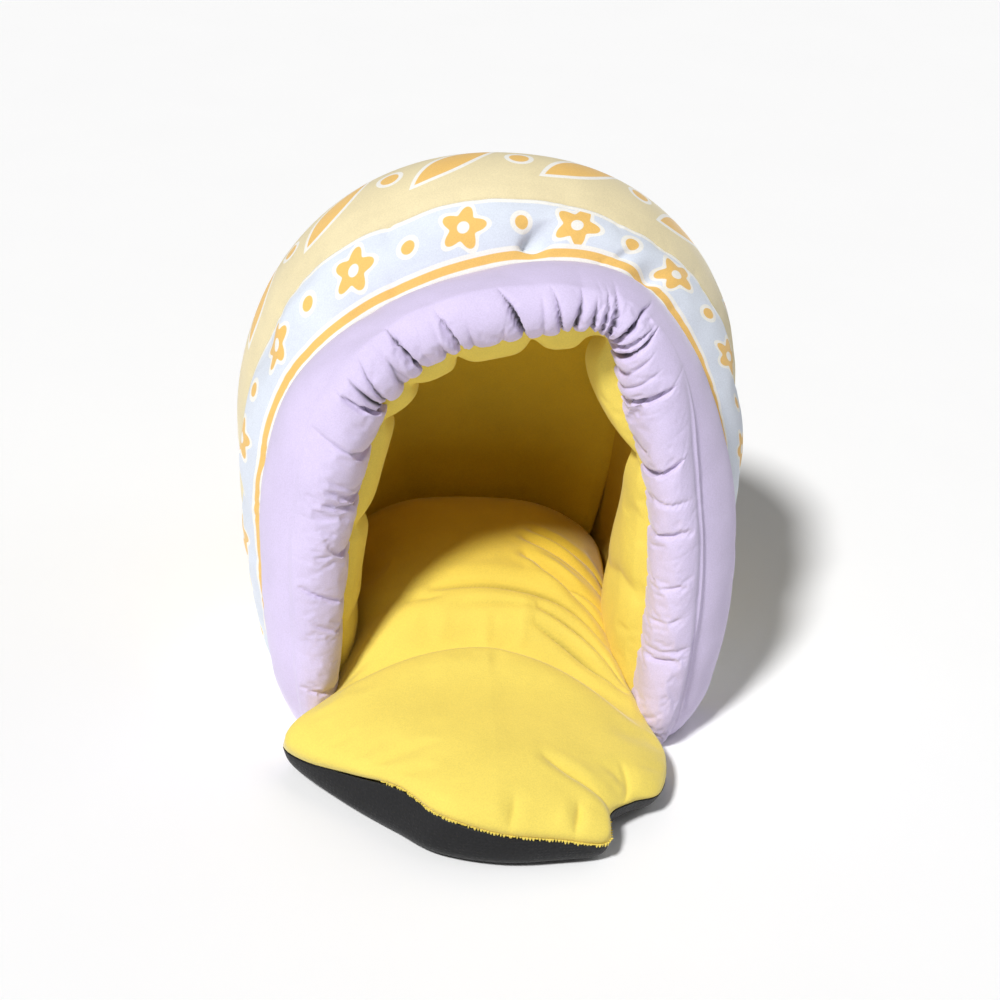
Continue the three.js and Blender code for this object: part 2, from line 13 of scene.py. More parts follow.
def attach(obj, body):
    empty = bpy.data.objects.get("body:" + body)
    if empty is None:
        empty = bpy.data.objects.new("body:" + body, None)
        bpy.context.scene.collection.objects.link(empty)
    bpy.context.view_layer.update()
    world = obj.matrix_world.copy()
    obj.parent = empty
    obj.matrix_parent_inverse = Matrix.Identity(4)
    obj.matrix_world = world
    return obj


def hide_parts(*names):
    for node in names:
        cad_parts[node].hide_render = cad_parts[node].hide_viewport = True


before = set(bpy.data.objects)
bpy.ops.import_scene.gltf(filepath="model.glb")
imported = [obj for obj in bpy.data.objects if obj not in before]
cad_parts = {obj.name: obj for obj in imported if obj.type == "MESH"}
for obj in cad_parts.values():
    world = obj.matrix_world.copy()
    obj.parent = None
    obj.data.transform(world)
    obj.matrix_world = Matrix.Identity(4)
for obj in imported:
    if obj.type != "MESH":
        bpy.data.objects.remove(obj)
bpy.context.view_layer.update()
MM = 0.001


def table(names, *rows):
    """Columns of a short table, by name."""
    return dict(zip(names.split(), np.array(rows, float).T))


# Sizes of the bed
BASE_CLOTH = 2.5
FOOT_Z = 2.9
MOUTH_Y = -175.0
RIM_DEPTH = 80.0
WALL_Y = -94.6
BACK_Y = 200.0
WALL_DEPTH = BACK_Y - WALL_Y
LEAN = 0.06
BELLY_Z = 225.0
ARCH_SHARE = 0.5
ARCH_POWER = 2.15
ARCH_LENGTH = 1300.0
OPENING_LENGTH = 960.0
LEVEL_FOOT = 60.0
FOOT_TUCK_HEIGHT = 46.0
FOOT_TUCK_SHARE = 0.2
FOOT_TUCK_FRONT = 4.0
RIM_CORE = 0.55
MOUTH_BLEND = 0.2
LINING_START = 0.55
LINING_FOOT = 0.5
LINING_END = 0.9
SEAM_GAP = 0.7
BAND_GAP = 0.8
PANEL_GAP = 0.4
WALL_GAP = 1.2
BASE_INSET = 9.0
SEAM_TUCK = 10.0

# The mouth from the left foot over the top to the right foot: the opening's edge, the welt
# and the shell seam.
MOUTH = table(
    "open_x open_z welt_x welt_z seam_x seam_z",
    (-142, 0, -168, 0, -188, 0),
    (-136, 75, -180, 75, -206, 75),
    (-135, 150, -187, 150, -214, 150),
    (-128, 230, -188, 235, -216, 235),
    (-111, 318, -168, 355, -190, 332),
    (-70, 379, -95, 436, -112, 408),
    (0, 406, 10, 466, 0, 452),
    (68, 412, 92, 455, 95, 447),
    (95, 350, 142, 398, 160, 384),
    (130, 255, 168, 304, 208, 288),
    (143, 170, 186, 195, 230, 200),
    (145, 85, 189, 100, 234, 100),
    (142, 0, 184, 0, 218, 0),
)

# Section of the rim from its lining seam round its face to its shell seam.
RIM_SECTION = table(
    "welt seam depth push",
    (0, 0.08, 80, 0),
    (0, 0, 62, 0),
    (0, 0, 40, 2),
    (0.12, 0, 15, 0),
    (0.34, 0, -1, 0),
    (0.60, 0, -7, 0),
    (0.86, 0, -4, 0),
    (1, 0, 7, 0),
    (1, 0.36, 23, 5),
    (1, 0.72, 49, 7),
    (1, 1, 80, 0),
)
RIM_INNER, RIM_WELT = 0.2, 0.7
RIM_STEPS = ((0, 0.09, 0.7, 0.75, 0.9, 1), (0, 0.12, 0.6, 0.67, 0.73, 1))
RIM_COARSE, RIM_FINE, RIM_BACK = (300, 46), (1240, 72), 4
# Places along the mouth where the gathered top starts on the left and ends on the right.
TOP_LEFT, TOP_RIGHT = (0.2, 0.3), (0.64, 0.72)
# Shares round the section where the gathers fade in, in general and on the right side, and how much
# flatter the small creases are at both sides.
RIM_EDGE, RIM_LIP, SIDES_FLAT = 0.1, (0.16, 0.3), 0.6
# Welt from the gathered top down the right side: height and width of its ridge, and of the dips beside it.
WELT_FROM, WELT_RIDGE, WELT_DIP = (0.66, 0.74), (1.9, 1.6), (4.5, 3.0)
WELT_DIPS = (0.9, 0.8)

# Gathers of the rim: place along the mouth, lean per millimetre outwards, reach from the opening, depth
# and width.
GATHERS = table(
    "at lean reach deep wide",
    (0.060, -0.25, 40, 1.5, 6),
    (0.130, -0.55, 29, 1.5, 5),
    (0.165, -0.49, 45, 1.5, 4),
    (0.217, -0.54, 21, 2.0, 3.5),
    (0.263, -0.15, 35, 4.0, 4),
    (0.272, -0.22, 37, 2.5, 4),
    (0.280, -0.19, 36, 2.0, 3.5),
    (0.309, -0.04, 56, 4.0, 4),
    (0.350, 0.12, 53, 6.0, 3.5),
    (0.356, 0.00, 48, 10.0, 5),
    (0.361, -0.14, 54, 7.0, 3.5),
    (0.382, -0.13, 36, 5.0, 7),
    (0.390, 0.11, 60, 2.5, 5),
    (0.407, 0.18, 59, 10.0, 4),
    (0.432, 0.13, 26, 5.0, 5),
    (0.447, 0.28, 51, 7.0, 3.5),
    (0.457, 0.15, 33, 4.0, 5),
    (0.480, 0.10, 22, 3.0, 5),
    (0.501, 0.45, 56, 10.0, 4.5),
    (0.519, 0.30, 49, 3.0, 5),
    (0.536, 0.44, 54, 7.0, 3.5),
    (0.546, 0.21, 51, 9.0, 5),
    (0.562, 0.28, 42, 9.0, 5),
    (0.572, 0.24, 54, 7.0, 3.5),
    (0.581, 0.24, 61, 8.0, 3.5),
    (0.591, -0.13, 71, 9.0, 3.5),
    (0.600, -0.30, 48, 6.0, 3.5),
    (0.615, -0.10, 52, 9.0, 3.5),
    (0.635, 0.10, 37, 3.0, 5),
    (0.649, 0.00, 39, 3.0, 4),
    (0.664, -0.16, 48, 6.0, 3.5),
    (0.726, -0.10, 44, 5.0, 3.5),
    (0.748, -0.41, 46, 1.5, 4),
    (0.781, -0.20, 41, 2.5, 5),
    (0.833, 0.00, 33, 1.0, 5),
    (0.866, 0.03, 42, 1.2, 5),
    (0.895, -0.09, 47, 2.2, 5),
    (0.905, -0.08, 44, 1.6, 5),
    (0.965, 0.50, 21, 2.0, 5),
)
DEEPEST_GATHER = 15.0
GATHER_WIDE, GATHER_NARROWS, GATHER_END = 1.15, 0.65, 4
HIDDEN_REACH = 30.0
LEAN_REACH, LEAN_EVEN, LEAN_SPARSE = 40.0, 0.022, 0.6
# Shares of the gathers' depth in the soft start and in the sharp folds, and widths of both and of the
# painted shade.
SOFT_DEPTH, SHARP_DEPTH = 0.6, 0.7
SOFT_WIDTH, SHARP_WIDTH, SHADE_WIDTH = 1.3, 0.45, 0.32
SHARP_LONGER, SHADE_LONGER = 1.15, 1.25
# Small creases: number, reach across the cloth, and the least and most length, width and depth.
RIM_CREASES = (170, (10, 78), ((10, 26), (1.4, 3.0), (0.3, 1.2)))
RIM_WAVES = (70, (20, 150), ((16, 40), (7, 15), (0.6, 2.2)))
SEAM_PUCKERS = (150, (0, 6), ((6, 20), (2.5, 7.0), (0.2, 1.0)))
CREASE_TURN, CREASE_POWER = 0.35, 1.4
CREASE_SEED, WAVE_SEED, BAND_SEED, CROWN_SEED = 11, 12, 21, 22
FOOT_FADE, PUCKER_FADE = 0.03, 0.02

# Trials of the filled cloths, and where those are sewn down or taut.
TRIAL_FRAMES, TRIAL_QUALITY, TRIAL_MASS = 18, 5, 0.01
RIM_SEWN, RIM_WELTED, RIM_TAUT, SIDES_TAUT = (0.1, 0.22), (0.66, 0.74), (0.25, 0.62), 0.7
SHELL_SEWN = 0.12
LINING_SEWN, LINING_STILL, PINCH_SEWN = (0.01, 0.04), (0.3, 0.5), (0.0, 0.15)
MAT_SEWN, FOLD_SEWN = (0.96, 0.99), 0.25

# The walls from the mouth to the back, in equal steps of depth.
WALLS = table(
    "half foot top shell lining",
    (232, 198, 496, 38, 44),
    (237, 201, 503, 38, 48),
    (241, 206, 506, 38, 50),
    (235, 203, 481, 37, 48),
    (212, 184, 438, 35, 40),
    (154, 130, 345, 32, 20),
)

# Soft hollows of the shell: place along the arch, share of the depth, size.
HOLLOWS = table(
    "at depth deep wide",
    (0.2, 0.3, 4, 36),
    (0.31, 0.2, 4, 30),
    (0.43, 0.11, 4, 26),
    (0.51, 0.06, 13, 12),
    (0.6, 0.05, 11, 11),
    (0.7, 0.22, 4, 30),
    (0.82, 0.3, 4, 36),
)
# Pleats of the band where it is pulled down to the rim: place along the arch, lean, reach from the rim,
# depth, and the widths of the steep left side and of the easy right side.
PLEATS = table(
    "at lean reach deep steep easy",
    (0.499, 0.5, 42, 11, 5, 15),
    (0.567, 0.4, 34, 7, 4, 10),
)
PLEAT_FROM, PLEAT_FULL = 9.0, 17.0
STRIPE_ROOM = 14.0
SEAM_GROOVE_DEEP = 3.0
SEAM_GROOVE_WIDE = 12.0
BAND_TOP, BAND_LEFT, BAND_RIGHT, BAND_FROM, BAND_TO = 0.15, 0.31, 0.4, 0.12, 0.6

# Puffs of the lining: how far they hang out past the opening's edge along the mouth, and the pinches
# between them.
PUFF_SWELL = np.array([10, 19, 21, 24, 28, 38, 41, 42, 27, 20, 28, 26, 11], float)
PUFF_START, PUFF_FULL, PUFF_HOLD, PUFF_END = -0.15, 0.01, 0.06, 0.5
PINCHES = table(
    "at share wide",
    (0.11, 0.2, 0.012),
    (0.224, 0.4, 0.010),
    (0.327, 0.45, 0.010),
    (0.374, 0.4, 0.009),
    (0.436, 0.35, 0.009),
    (0.512, 0.4, 0.009),
    (0.611, 0.9, 0.025),
    (0.727, 0.75, 0.016),
    (0.86, 0.2, 0.012),
)
PINCH_END, PINCH_CORE = 0.3, 0.5
LINING_LIP, LINING_CLOSER, TUCK_SHARE = -0.004, 1.2, 0.05
# Rows of the lining along the mouth, and its columns under the rim and behind it.
LINING_COARSE, LINING_FINE = (230, 14, 36), (440, 28, 72)
BACK_WALL_COVE, COVE_SHARE = 46.0, (0.4, 0.95)
FAN_START = 0.002
# Painted shade: where the lining's and the mat's yellow turns to its shaded copy, by share of the lining's
# depth and by place along the mat.
LINING_PAINTED_SHADE = (0.06, 0.4)
MAT_PAINTED_SHADE = (-150.0, 50.0)
BACK_EDGE, BACK_SWELL, BACK_POWER, BACK_ROUND = 2.0, 38.0, 2.6, 0.6

# The mat's edge, anticlockwise from the right of the mouth: its seam's height, how far the base turns up,
# and how far its turned-up side stands out.
MAT_CENTRE = np.array([4.0, -100.0])
MAT_COARSE, MAT_COUNT = 116, 220
MAT_MIDDLE, MAT_TWIST = np.array([150.0, 235.0]), math.radians(18)
MAT_EDGE = table(
    "x y seam rise belly",
    (136, -96, 34, 0, 0),
    (138, -44, 40, 0, 0),
    (138, 30, 44, 0, 0),
    (134, 108, 44, 0, 0),
    (84, 156, 44, 0, 0),
    (2, 161, 44, 0, 0),
    (-80, 156, 44, 0, 0),
    (-130, 108, 44, 0, 0),
    (-134, 30, 44, 0, 0),
    (-134, -44, 40, 0, 0),
    (-134, -96, 34, 0, 0),
    (-150, -162, 30, 0, 0),
    (-174, -194, 30, 0.4, -6),
    (-187, -216, 29, 1, -12),
    (-166, -240, 31, 1, -6),
    (-124, -268, 40, 1, 8),
    (-84, -296, 50, 1, 14),
    (-50, -327, 46, 1, 9),
    (2, -341, 38, 1, 5),
    (54, -340, 32, 1, 0),
    (99, -334, 25, 1, -9),
    (105, -303, 32, 1, -9),
    (128, -284, 31, 1, -14),
    (156, -265, 27, 1, -14),
    (168, -214, 27, 0.6, -8),
    (155, -168, 31, 0, 0),
)
CAVE_TOP, CAVE_POWER, CAVE_ROUND = 127.0, 3.6, 0.52
CAVE_PEAK, CAVE_HALF, CAVE_FALL = 15.0, 130.0, 20.0
TONGUE_TOP, TONGUE_POWER, TONGUE_ROUND = 81.0, 3.1, 0.42
TONGUE_TILT = 0.16
TONGUE_FROM, TONGUE_TO = -30.0, -220.0
UNDERSIDE = table(
    "out up",
    (-24, 0),
    (-10, 0.05),
    (-1, 0.24),
    (1.6, 0.48),
    (1.6, 0.72),
    (0.8, 0.95),
)
FOLD_X, FOLD_Y, FOLD_ACROSS, FOLD_ALONG = -5.0, -246.0, 162.0, 102.0
FOLD_DEEP, FOLD_STEEP, FOLD_EASY, FOLD_RIDGE = 15.0, 8.0, 28.0, 5.0
FOLD_FROM, FOLD_FULL = -250.0, -155.0

# Folds of the mat: four places in plan along each, depth and width, and shares of both in the soft start
# and in the sharp folds.
MAT_CREASES = table(
    "x0 y0 x1 y1 x2 y2 x3 y3 deep wide",
    (54, 24, 96, 10, 121, 5, 130, -14, 5, 5),
    (44, 5, 72, -9, 96, -21, 122, -30, 6, 5),
    (41, -28, 60, -41, 84, -55, 122, -60, 6, 5),
    (59, -47, 76, -58, 93, -68, 120, -78, 7, 6),
    (-51, -76, 9, -74, 68, -82, 118, -101, 6, 8),
    (-30, -98, -7, -96, 22, -95, 47, -96, 3, 7),
    (51, -95, 85, -107, 114, -120, 134, -138, 7, 6),
    (47, -110, 76, -122, 103, -135, 135, -147, 6, 5),
    (-77, -86, -64, -86, -53, -87, -43, -87, 2, 5),
    (44, -270, 64, -282, 83, -291, 102, -303, 4, 5),
    (118, -258, 122, -274, 119, -288, 108, -301, 4, 6),
    (15, -322, 13, -330, 11, -336, 9, -343, 4, 6),
    (73, -316, 72, -323, 70, -330, 69, -338, 5, 5),
)
SOFT_FOLD, SOFT_FOLD_WIDTH, SHARP_FOLD, SHARP_FOLD_WIDTH = 1.4, 1.1, 0.5, 0.4
CREASE_ENDS, CREASE_TAPER, CREASE_LIP, CREASE_LIP_WIDE = (0.06, 0.94), 0.6, 0.3, 1.1
UNDER_INSET, UNDER_DRAWN, UNDER_SIDE = 6.0, (0.5, 0.9), (0.8, 1.0)
FOOT_STEPS, BEHIND = 9, (0.7, 0, -0.7)

# Overlock along the tongue's front: the seam's stretch, its place beside the seam, and the teeth in metres.
STITCHED, STITCH_STEPS, STITCH_OUT, STITCH_UP = (0.6, 0.8), 400, 0.6, 0.2
STITCHES = {"Pitch": 0.0029, "Seed": 5}
TOOTH = {"Vertices": 6, "Radius_Top": 0.0015, "Radius_Bottom": 0.0004, "Depth": 0.0034}
TOOTH_DROP = 0.0033
TOOTH_SIZES = ((0.5, 0.5, 0.1), (1.6, 0.9, 1.2))

# Cloth colours in linear light
LILAC = (0.70, 0.61, 0.85)
PALE_BLUE = (0.72, 0.77, 0.86)
CREAM = (0.82, 0.71, 0.44)
ORANGE = (0.88, 0.55, 0.16)
WHITE = (0.92, 0.90, 0.84)
YELLOW = (0.88, 0.70, 0.135)
# Painted shade: a deeper, more orange copy of the yellow that the lining and the mat take on towards the
# back of the cave.
PAINTED_SHADE_YELLOW = (0.80, 0.55, 0.05)
# Painted shade: a more orange copy of the yellow, with less blue, for the cave's back wall, which stands in
# shade.
SHADED_WALL_YELLOW = (0.92, 0.68, 0.06)
BLACK = (0.009, 0.009, 0.010)

# Plush: its soft patches, its pile and the flecks in it, with the tones and the roughness that they give.
PATCHES, FIBRES, FLECKS = (16.0, 3.0, 0.6), (750.0, 3.0, 0.7), (190.0, 2.0, 0.5)
PATCH_TONES, FIBRE_TONES = (0.3, 0.7, 0.94, 1.0), (0.25, 0.75, -0.07, 0.05)
# CREASE_SHADE: the crease values over which the painted shade in the creases sets in.
FIBRE_ROUGHNESS, CREASE_SHADE = (0.2, 0.8, 0.77, 0.93), (0.06, 0.42)
FIBRE_HEIGHT, FLECK_HEIGHT, PILE_DEPTH = 0.6, 0.7, 0.0012

# Non-slip cloth: its patches of two blacks, its grain and its grip dots.
BLACK_PATCHES, BLACK_TONES = 22.0, (0.75, 1.5)
GRAIN, GRAIN_ROUGHNESS = (420.0, 3.0), (0.2, 0.8, 0.5, 0.75)
GRIP_DOTS, DOT_EDGES = {"Scale": 320.0, "Randomness": 0.25}, (0.1, 0.45, 1.0, 0.0)
DOT_STRENGTH, DOT_DEPTH = 0.35, 0.0008

# Prints, in metres
PRINT_EDGE, PRINT_OUTLINE = 0.0005, 0.0045
BAND_PITCH, BAND_DOT = 0.105, 0.0065
FLOWER_RADIUS, FLOWER_HEART, PETALS, PETAL_WAVE = 0.021, 0.0055, 5.0, 0.2
STRIPE_MIDDLE, STRIPE_HALF, BAND_EDGE = 0.0075, 0.004, 0.004
CROWN_PITCH, CROWN_DOT = 0.12, 0.009
LEAF_LONG, LEAF_WIDE, LEAF_LEAN = 0.046, 0.014, 0.6
LEAF_ROWS = (0.058, 0.165)


def clamp01(value):
    return np.clip(value, 0.0, 1.0)


def mix(a, b, share):
    return a + (b - a) * share


def smooth(value, start, end):
    x = clamp01((value - start) / (end - start))
    return x * x * (3 - 2 * x)


def bell(distance, width):
    return np.exp(-((distance / width) ** 2))


def crease(distance, width):
    """Valley of a crease across its line: narrow at the bottom, with soft shoulders."""
    return np.exp(-(np.abs(distance) / width) ** CREASE_POWER)


def column(rows, t, closed=False):
    """Values at t, from 0 at the first row to 1 at the last, on a smooth curve."""
    rows = np.asarray(rows, float)
    spans = len(rows) if closed else len(rows) - 1
    at = np.asarray(t, float) * spans
    first = np.clip(np.floor(at).astype(int), 0, spans - 1)
    f = at - first
    if rows.ndim > 1:
        f = f.reshape(f.shape + (1,) * (rows.ndim - 1))

    def row(i):
        return rows[i % spans] if closed else rows[np.clip(i, 0, spans)]

    start = (row(first + 1) - row(first - 1)) / 2
    end = (row(first + 2) - row(first)) / 2
    rise = row(first + 1) - row(first)
    bend = (start + end - 2 * rise) * f + (3 * rise - 2 * start - end)
    return row(first) + (bend * f + start) * f


# Walls
def outline(name, t):
    """Places on one of the mouth's three lines, across and up."""
    return np.stack([column(MOUTH[name + "_x"], t), column(MOUTH[name + "_z"], t)], -1)


def outward(t):
    """Unit vectors from the opening's edge out into the wall, level at the floor."""
    step = 0.004
    along = outline("open", clamp01(t + step)) - outline("open", clamp01(t - step))
    level = clamp01(outline("open", t)[..., 1] / LEVEL_FOOT)
    along /= np.linalg.norm(along, axis=-1, keepdims=True)
    out = np.stack([-along[..., 1], along[..., 0] * level], -1)
    return out / np.linalg.norm(out, axis=-1, keepdims=True)


def arch(half, foot, top, t):
    """Section of the walls: bowed legs under a rounded top."""
    side = np.sign(t - 0.5)
    down = np.abs(2 * t - 1)
    leg = clamp01((down - ARCH_SHARE) / (1 - ARCH_SHARE))
    angle = clamp01(down / ARCH_SHARE) * math.pi / 2
    power = 2 / ARCH_POWER
    low_x = mix(foot, half, np.cos(leg * math.pi / 2))
    high_z = BELLY_Z + (top - BELLY_Z) * np.abs(np.cos(angle)) ** power
    low = down > ARCH_SHARE
    x = side * np.where(low, low_x, half * np.sin(angle) ** power)
    return np.stack([x, np.where(low, BELLY_Z * (1 - leg), high_z)], -1)


def place(section, share):
    """Points of a section of the walls, set at a share of the depth and leaning back."""
    lean = LEAN * section[..., 1] * (1 - clamp01(share))
    y = WALL_Y + WALL_DEPTH * share + lean
    return np.stack([section[..., 0], y, section[..., 1] + FOOT_Z], -1)


def skin_section(t, share, inset, foot_inset, mouth):
    """Section of one skin of the walls, from the mouth's line to an arch."""
    half = column(WALLS["half"], share) - inset
    foot = column(WALLS["foot"], share) - foot_inset
    top = column(WALLS["top"], share) - inset
    swollen = np.sin(clamp01(share / MOUTH_BLEND) * math.pi / 2)[..., None]
    return mix(mouth, arch(half, foot, top, t), swollen)


def band_end(t):
    """Share of the depth where the band ends, further back at the sides."""
    side = np.where(t < 0.5, BAND_LEFT, BAND_RIGHT)
    return mix(BAND_TOP, side, smooth(np.abs(2 * t - 1), BAND_FROM, BAND_TO))


def crown_start(t):
    """Share of the depth where the crown starts, just behind the band."""
    return band_end(t) + BAND_GAP / WALL_DEPTH


def outer_skin(t, share):
    """The shell's outside, with the groove of its seam and its soft hollows."""
    point = skin_section(t, share, 0, 0, outline("seam", t))
    centre = np.stack([np.zeros_like(t), np.minimum(point[..., 1], BELLY_Z)], -1)
    dent = SEAM_GROOVE_DEEP * bell((share - band_end(t)) * WALL_DEPTH, SEAM_GROOVE_WIDE)
    for at, depth, deep, wide in zip(*HOLLOWS.values()):
        away = np.hypot((t - at) * ARCH_LENGTH, (share - depth) * WALL_DEPTH)
        dent = dent + deep * bell(away, wide)
    reach = np.linalg.norm(point - centre, axis=-1)
    return mix(point, centre, (dent / reach)[..., None])


def middle_skin(t, share, clearance):
    """The skin between the shell and the lining, a little inwards by the clearance."""
    start = mix(outline("open", t), outline("seam", t), LINING_START) - clearance * outward(t)
    inset = column(WALLS["shell"], share) + clearance
    return skin_section(t, share, inset, inset, start)


def pinches(t, width=1.0):
    """Depth of the pinches between the lining's puffs, as shares of the puffs."""
    pinch = np.zeros_like(t)
    for at, deep, wide in zip(*PINCHES.values()):
        pinch = np.maximum(pinch, deep * crease(t - at, width * wide))
    return pinch


def puffs(t, share):
    """How far the lining's puffs stand out at t along the mouth and a share of the depth."""
    rising = 1 - clamp01((share - PUFF_START) / (PUFF_FULL - PUFF_START))
    falling = 1 - smooth(share, PUFF_HOLD, PUFF_END)
    near = 1 - smooth(share, PUFF_HOLD, PINCH_END)
    return column(PUFF_SWELL, t) * (1 - pinches(t) * near) * np.sqrt(1 - rising ** 2) * falling


def inner_skin(t, share):
    """The lining's inside, with its puffs."""
    shell = column(WALLS["shell"], clamp01(share))
    lining = column(WALLS["lining"], clamp01(share))
    start = mix(outline("open", t), outline("seam", t), RIM_SECTION["seam"][0])
    point = skin_section(t, clamp01(share), shell + lining, shell + lining * LINING_FOOT, start)
    return point - outward(t) * puffs(t, share)[..., None]


# Meshes
def grid(down, across):
    """Values along the rows and along the columns of a grid."""
    return np.meshgrid(down, across, indexing="ij")


def grid_faces(rows, columns, wrap=False):
    """Quads of a grid of points, joined round its columns where wrap is set."""
    i, j = grid(np.arange(rows - 1), np.arange(columns - (0 if wrap else 1)))
    k = (j + 1) % columns
    quads = [i * columns + j, (i + 1) * columns + j, (i + 1) * columns + k, i * columns + k]
    return np.stack(quads, -1).reshape(-1, 4)


def tube_faces(rows, columns):
    """Quads of a tube whose first and last rings are closed by a strip across them."""
    k = np.arange(columns // 2 - 1)
    strip = np.stack([k, k + 1, columns - 2 - k, columns - 1 - k], -1)
    end = (rows - 1) * columns + strip[:, ::-1]
    return np.concatenate([grid_faces(rows, columns, wrap=True), strip, end])


def outward_faces(points, faces):
    """The faces, turned round if they enclose a negative volume."""
    a, b, c, d = (points[faces[:, i]] for i in range(4))
    volume = (a * np.cross(b, c)).sum() + (a * np.cross(c, d)).sum()
    return faces if volume > 0 else faces[:, ::-1]


def normals(points):
    """Unit normals of a grid of points, by differences along its rows and columns."""
    normal = np.cross(np.gradient(points, axis=0), np.gradient(points, axis=1))
    return normal / np.maximum(np.linalg.norm(normal, axis=-1, keepdims=True), 1e-9)


def lengths(points, axis):
    """Distance along an axis of a grid of points, from its first row or column."""
    step = np.linalg.norm(np.diff(points, axis=axis), axis=-1)
    first = np.zeros_like(np.take(step, [0], axis))
    return np.concatenate([first, np.cumsum(step, axis)], axis)


def piece(name, points, faces, finish, attributes=None):
    """A finished cloth piece, smooth shaded, with its attributes for the print."""
    flat = points.reshape(-1, 3)
    mesh = bpy.data.meshes.new(name)
    cells = [list(dict.fromkeys(face)) for face in outward_faces(flat, faces).tolist()]
    mesh.from_pydata((flat * MM).tolist(), [], cells)
    mesh.polygons.foreach_set("use_smooth", [True] * len(mesh.polygons))
    for key, values in (attributes or {}).items():
        layer = mesh.attributes.new(key, "FLOAT", "POINT")
        layer.data.foreach_set("value", (values.reshape(-1) * MM).astype(np.float32))
    mesh.materials.append(finish)
    made = bpy.data.objects.new(name, mesh)
    bpy.context.scene.collection.objects.link(made)
    return made


def dress(made, slot, *nodes):
    """Ties a piece to the body and hides the solids that it stands for; its material slot is not used."""
    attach(made, "root")
    if nodes:
        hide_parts(*nodes)
    return made


# Materials
class Field:
    """A value that varies over a cloth, such as a place in its print."""

    def __init__(self, cloth, socket):
        self.cloth, self.socket = cloth, socket

    def __add__(self, other):
        return self.cloth.math("ADD", self, other)

    def __sub__(self, other):
        return self.cloth.math("SUBTRACT", self, other)

    def __mul__(self, other):
        return self.cloth.math("MULTIPLY", self, other)

    def __truediv__(self, other):
        return self.cloth.math("DIVIDE", self, other)

    def __abs__(self):
        return self.cloth.math("ABSOLUTE", self)


class Finish:
    """A cloth's finish, made of its colour, print, pile and sheen."""

    def __init__(self, name):
        self.material = bpy.data.materials.new(name)
        self.material.use_nodes = True
        self.tree = self.material.node_tree
        self.shader = self.tree.nodes["Principled BSDF"]

    def node(self, kind, **settings):
        made = self.tree.nodes.new(kind)
        for key, value in settings.items():
            setattr(made, key, value)
        return made

    def give(self, node, **values):
        """Sets a node's inputs, named with _ for spaces, to numbers, colours or fields."""
        for key, value in values.items():
            self.join(node.inputs[key.replace("_", " ")], value)
        return node

    def join(self, socket, value):
        value = getattr(value, "socket", value)
        if isinstance(value, bpy.types.NodeSocket):
            self.tree.links.new(value, socket)
        else:
            socket.default_value = value

    def math(self, operation, *values):
        made = self.node("ShaderNodeMath", operation=operation)
        for socket, value in zip(made.inputs, values):
            self.join(socket, value)
        return Field(self, made.outputs[0])

    def attribute(self, name):
        return Field(self, self.node("ShaderNodeAttribute", attribute_name=name).outputs["Fac"])

    def place(self):
        return self.node("ShaderNodeTexCoord").outputs["Object"]

    def noise(self, scale, detail=2.0, roughness=0.5):
        made = self.node("ShaderNodeTexNoise")
        self.give(made, Vector=self.place(), Scale=scale, Detail=detail, Roughness=roughness)
        return Field(self, made.outputs["Fac"])

    def ramp(self, value, low, high, out_low, out_high):
        made = self.node("ShaderNodeMapRange", interpolation_type="SMOOTHSTEP")
        self.give(made, Value=value, From_Min=low, From_Max=high, To_Min=out_low, To_Max=out_high)
        return Field(self, made.outputs["Result"])

    def blend(self, share, first, second, how="MIX"):
        made = self.node("ShaderNodeMix", data_type="RGBA", blend_type=how)
        self.join(made.inputs[0], share)
        for socket, value in ((made.inputs[6], first), (made.inputs[7], second)):
            self.join(socket, value if isinstance(value, bpy.types.NodeSocket) else (*value, 1.0))
        return made.outputs[2]

    def bump(self, height, strength, distance):
        made = self.give(self.node("ShaderNodeBump"), Strength=strength, Distance=distance, Height=height)
        self.give(self.shader, Normal=made.outputs["Normal"])


def plush(cloth, colour, pile=0.3, sheen=0.3, crease_tone=0.0):
    """Short brushed pile over a colour or print, with soft patches, sheen and painted shade in its creases.
    """
    patches, fibres, flecks = (cloth.noise(*kind) for kind in (PATCHES, FIBRES, FLECKS))
    shade = cloth.ramp(patches, *PATCH_TONES) + cloth.ramp(fibres, *FIBRE_TONES)
    # Painted shade: the colour darkens along the creases, where shade falls.
    if crease_tone:
        shade = shade * cloth.ramp(cloth.attribute("crease"), *CREASE_SHADE, 1.0, 1 - crease_tone)
    tone = cloth.give(cloth.node("ShaderNodeCombineColor"), Red=shade, Green=shade, Blue=shade)
    cloth.give(
        cloth.shader,
        Base_Color=cloth.blend(1.0, colour, tone.outputs[0], "MULTIPLY"),
        Roughness=cloth.ramp(fibres, *FIBRE_ROUGHNESS),
        Specular_IOR_Level=0.18,
        Sheen_Weight=sheen,
        Sheen_Roughness=0.45,
    )
    cloth.bump(fibres * FIBRE_HEIGHT + flecks * FLECK_HEIGHT, pile, PILE_DEPTH)
    return cloth.material


def inside(distance):
    """1 where a signed distance is below zero, with a soft printed edge."""
    return distance.cloth.ramp(distance, -PRINT_EDGE, PRINT_EDGE, 1.0, 0.0)


def repeat(value, pitch):
    """Distance from the middle of each repeat along a value."""
    return (value.cloth.math("FRACT", value / pitch) - 0.5) * pitch


def from_middle(x, y):
    """Distance from the middle of a motif."""
    return x.cloth.math("SQRT", x * x + y * y)


def flower(x, y):
    """Distance to a flower's wavy edge."""
    turn = x.cloth.math("ARCTAN2", y, x) * PETALS
    wave = x.cloth.math("COSINE", turn) * (PETAL_WAVE * FLOWER_RADIUS)
    return from_middle(x, y) - (wave + (1 - PETAL_WAVE) * FLOWER_RADIUS)


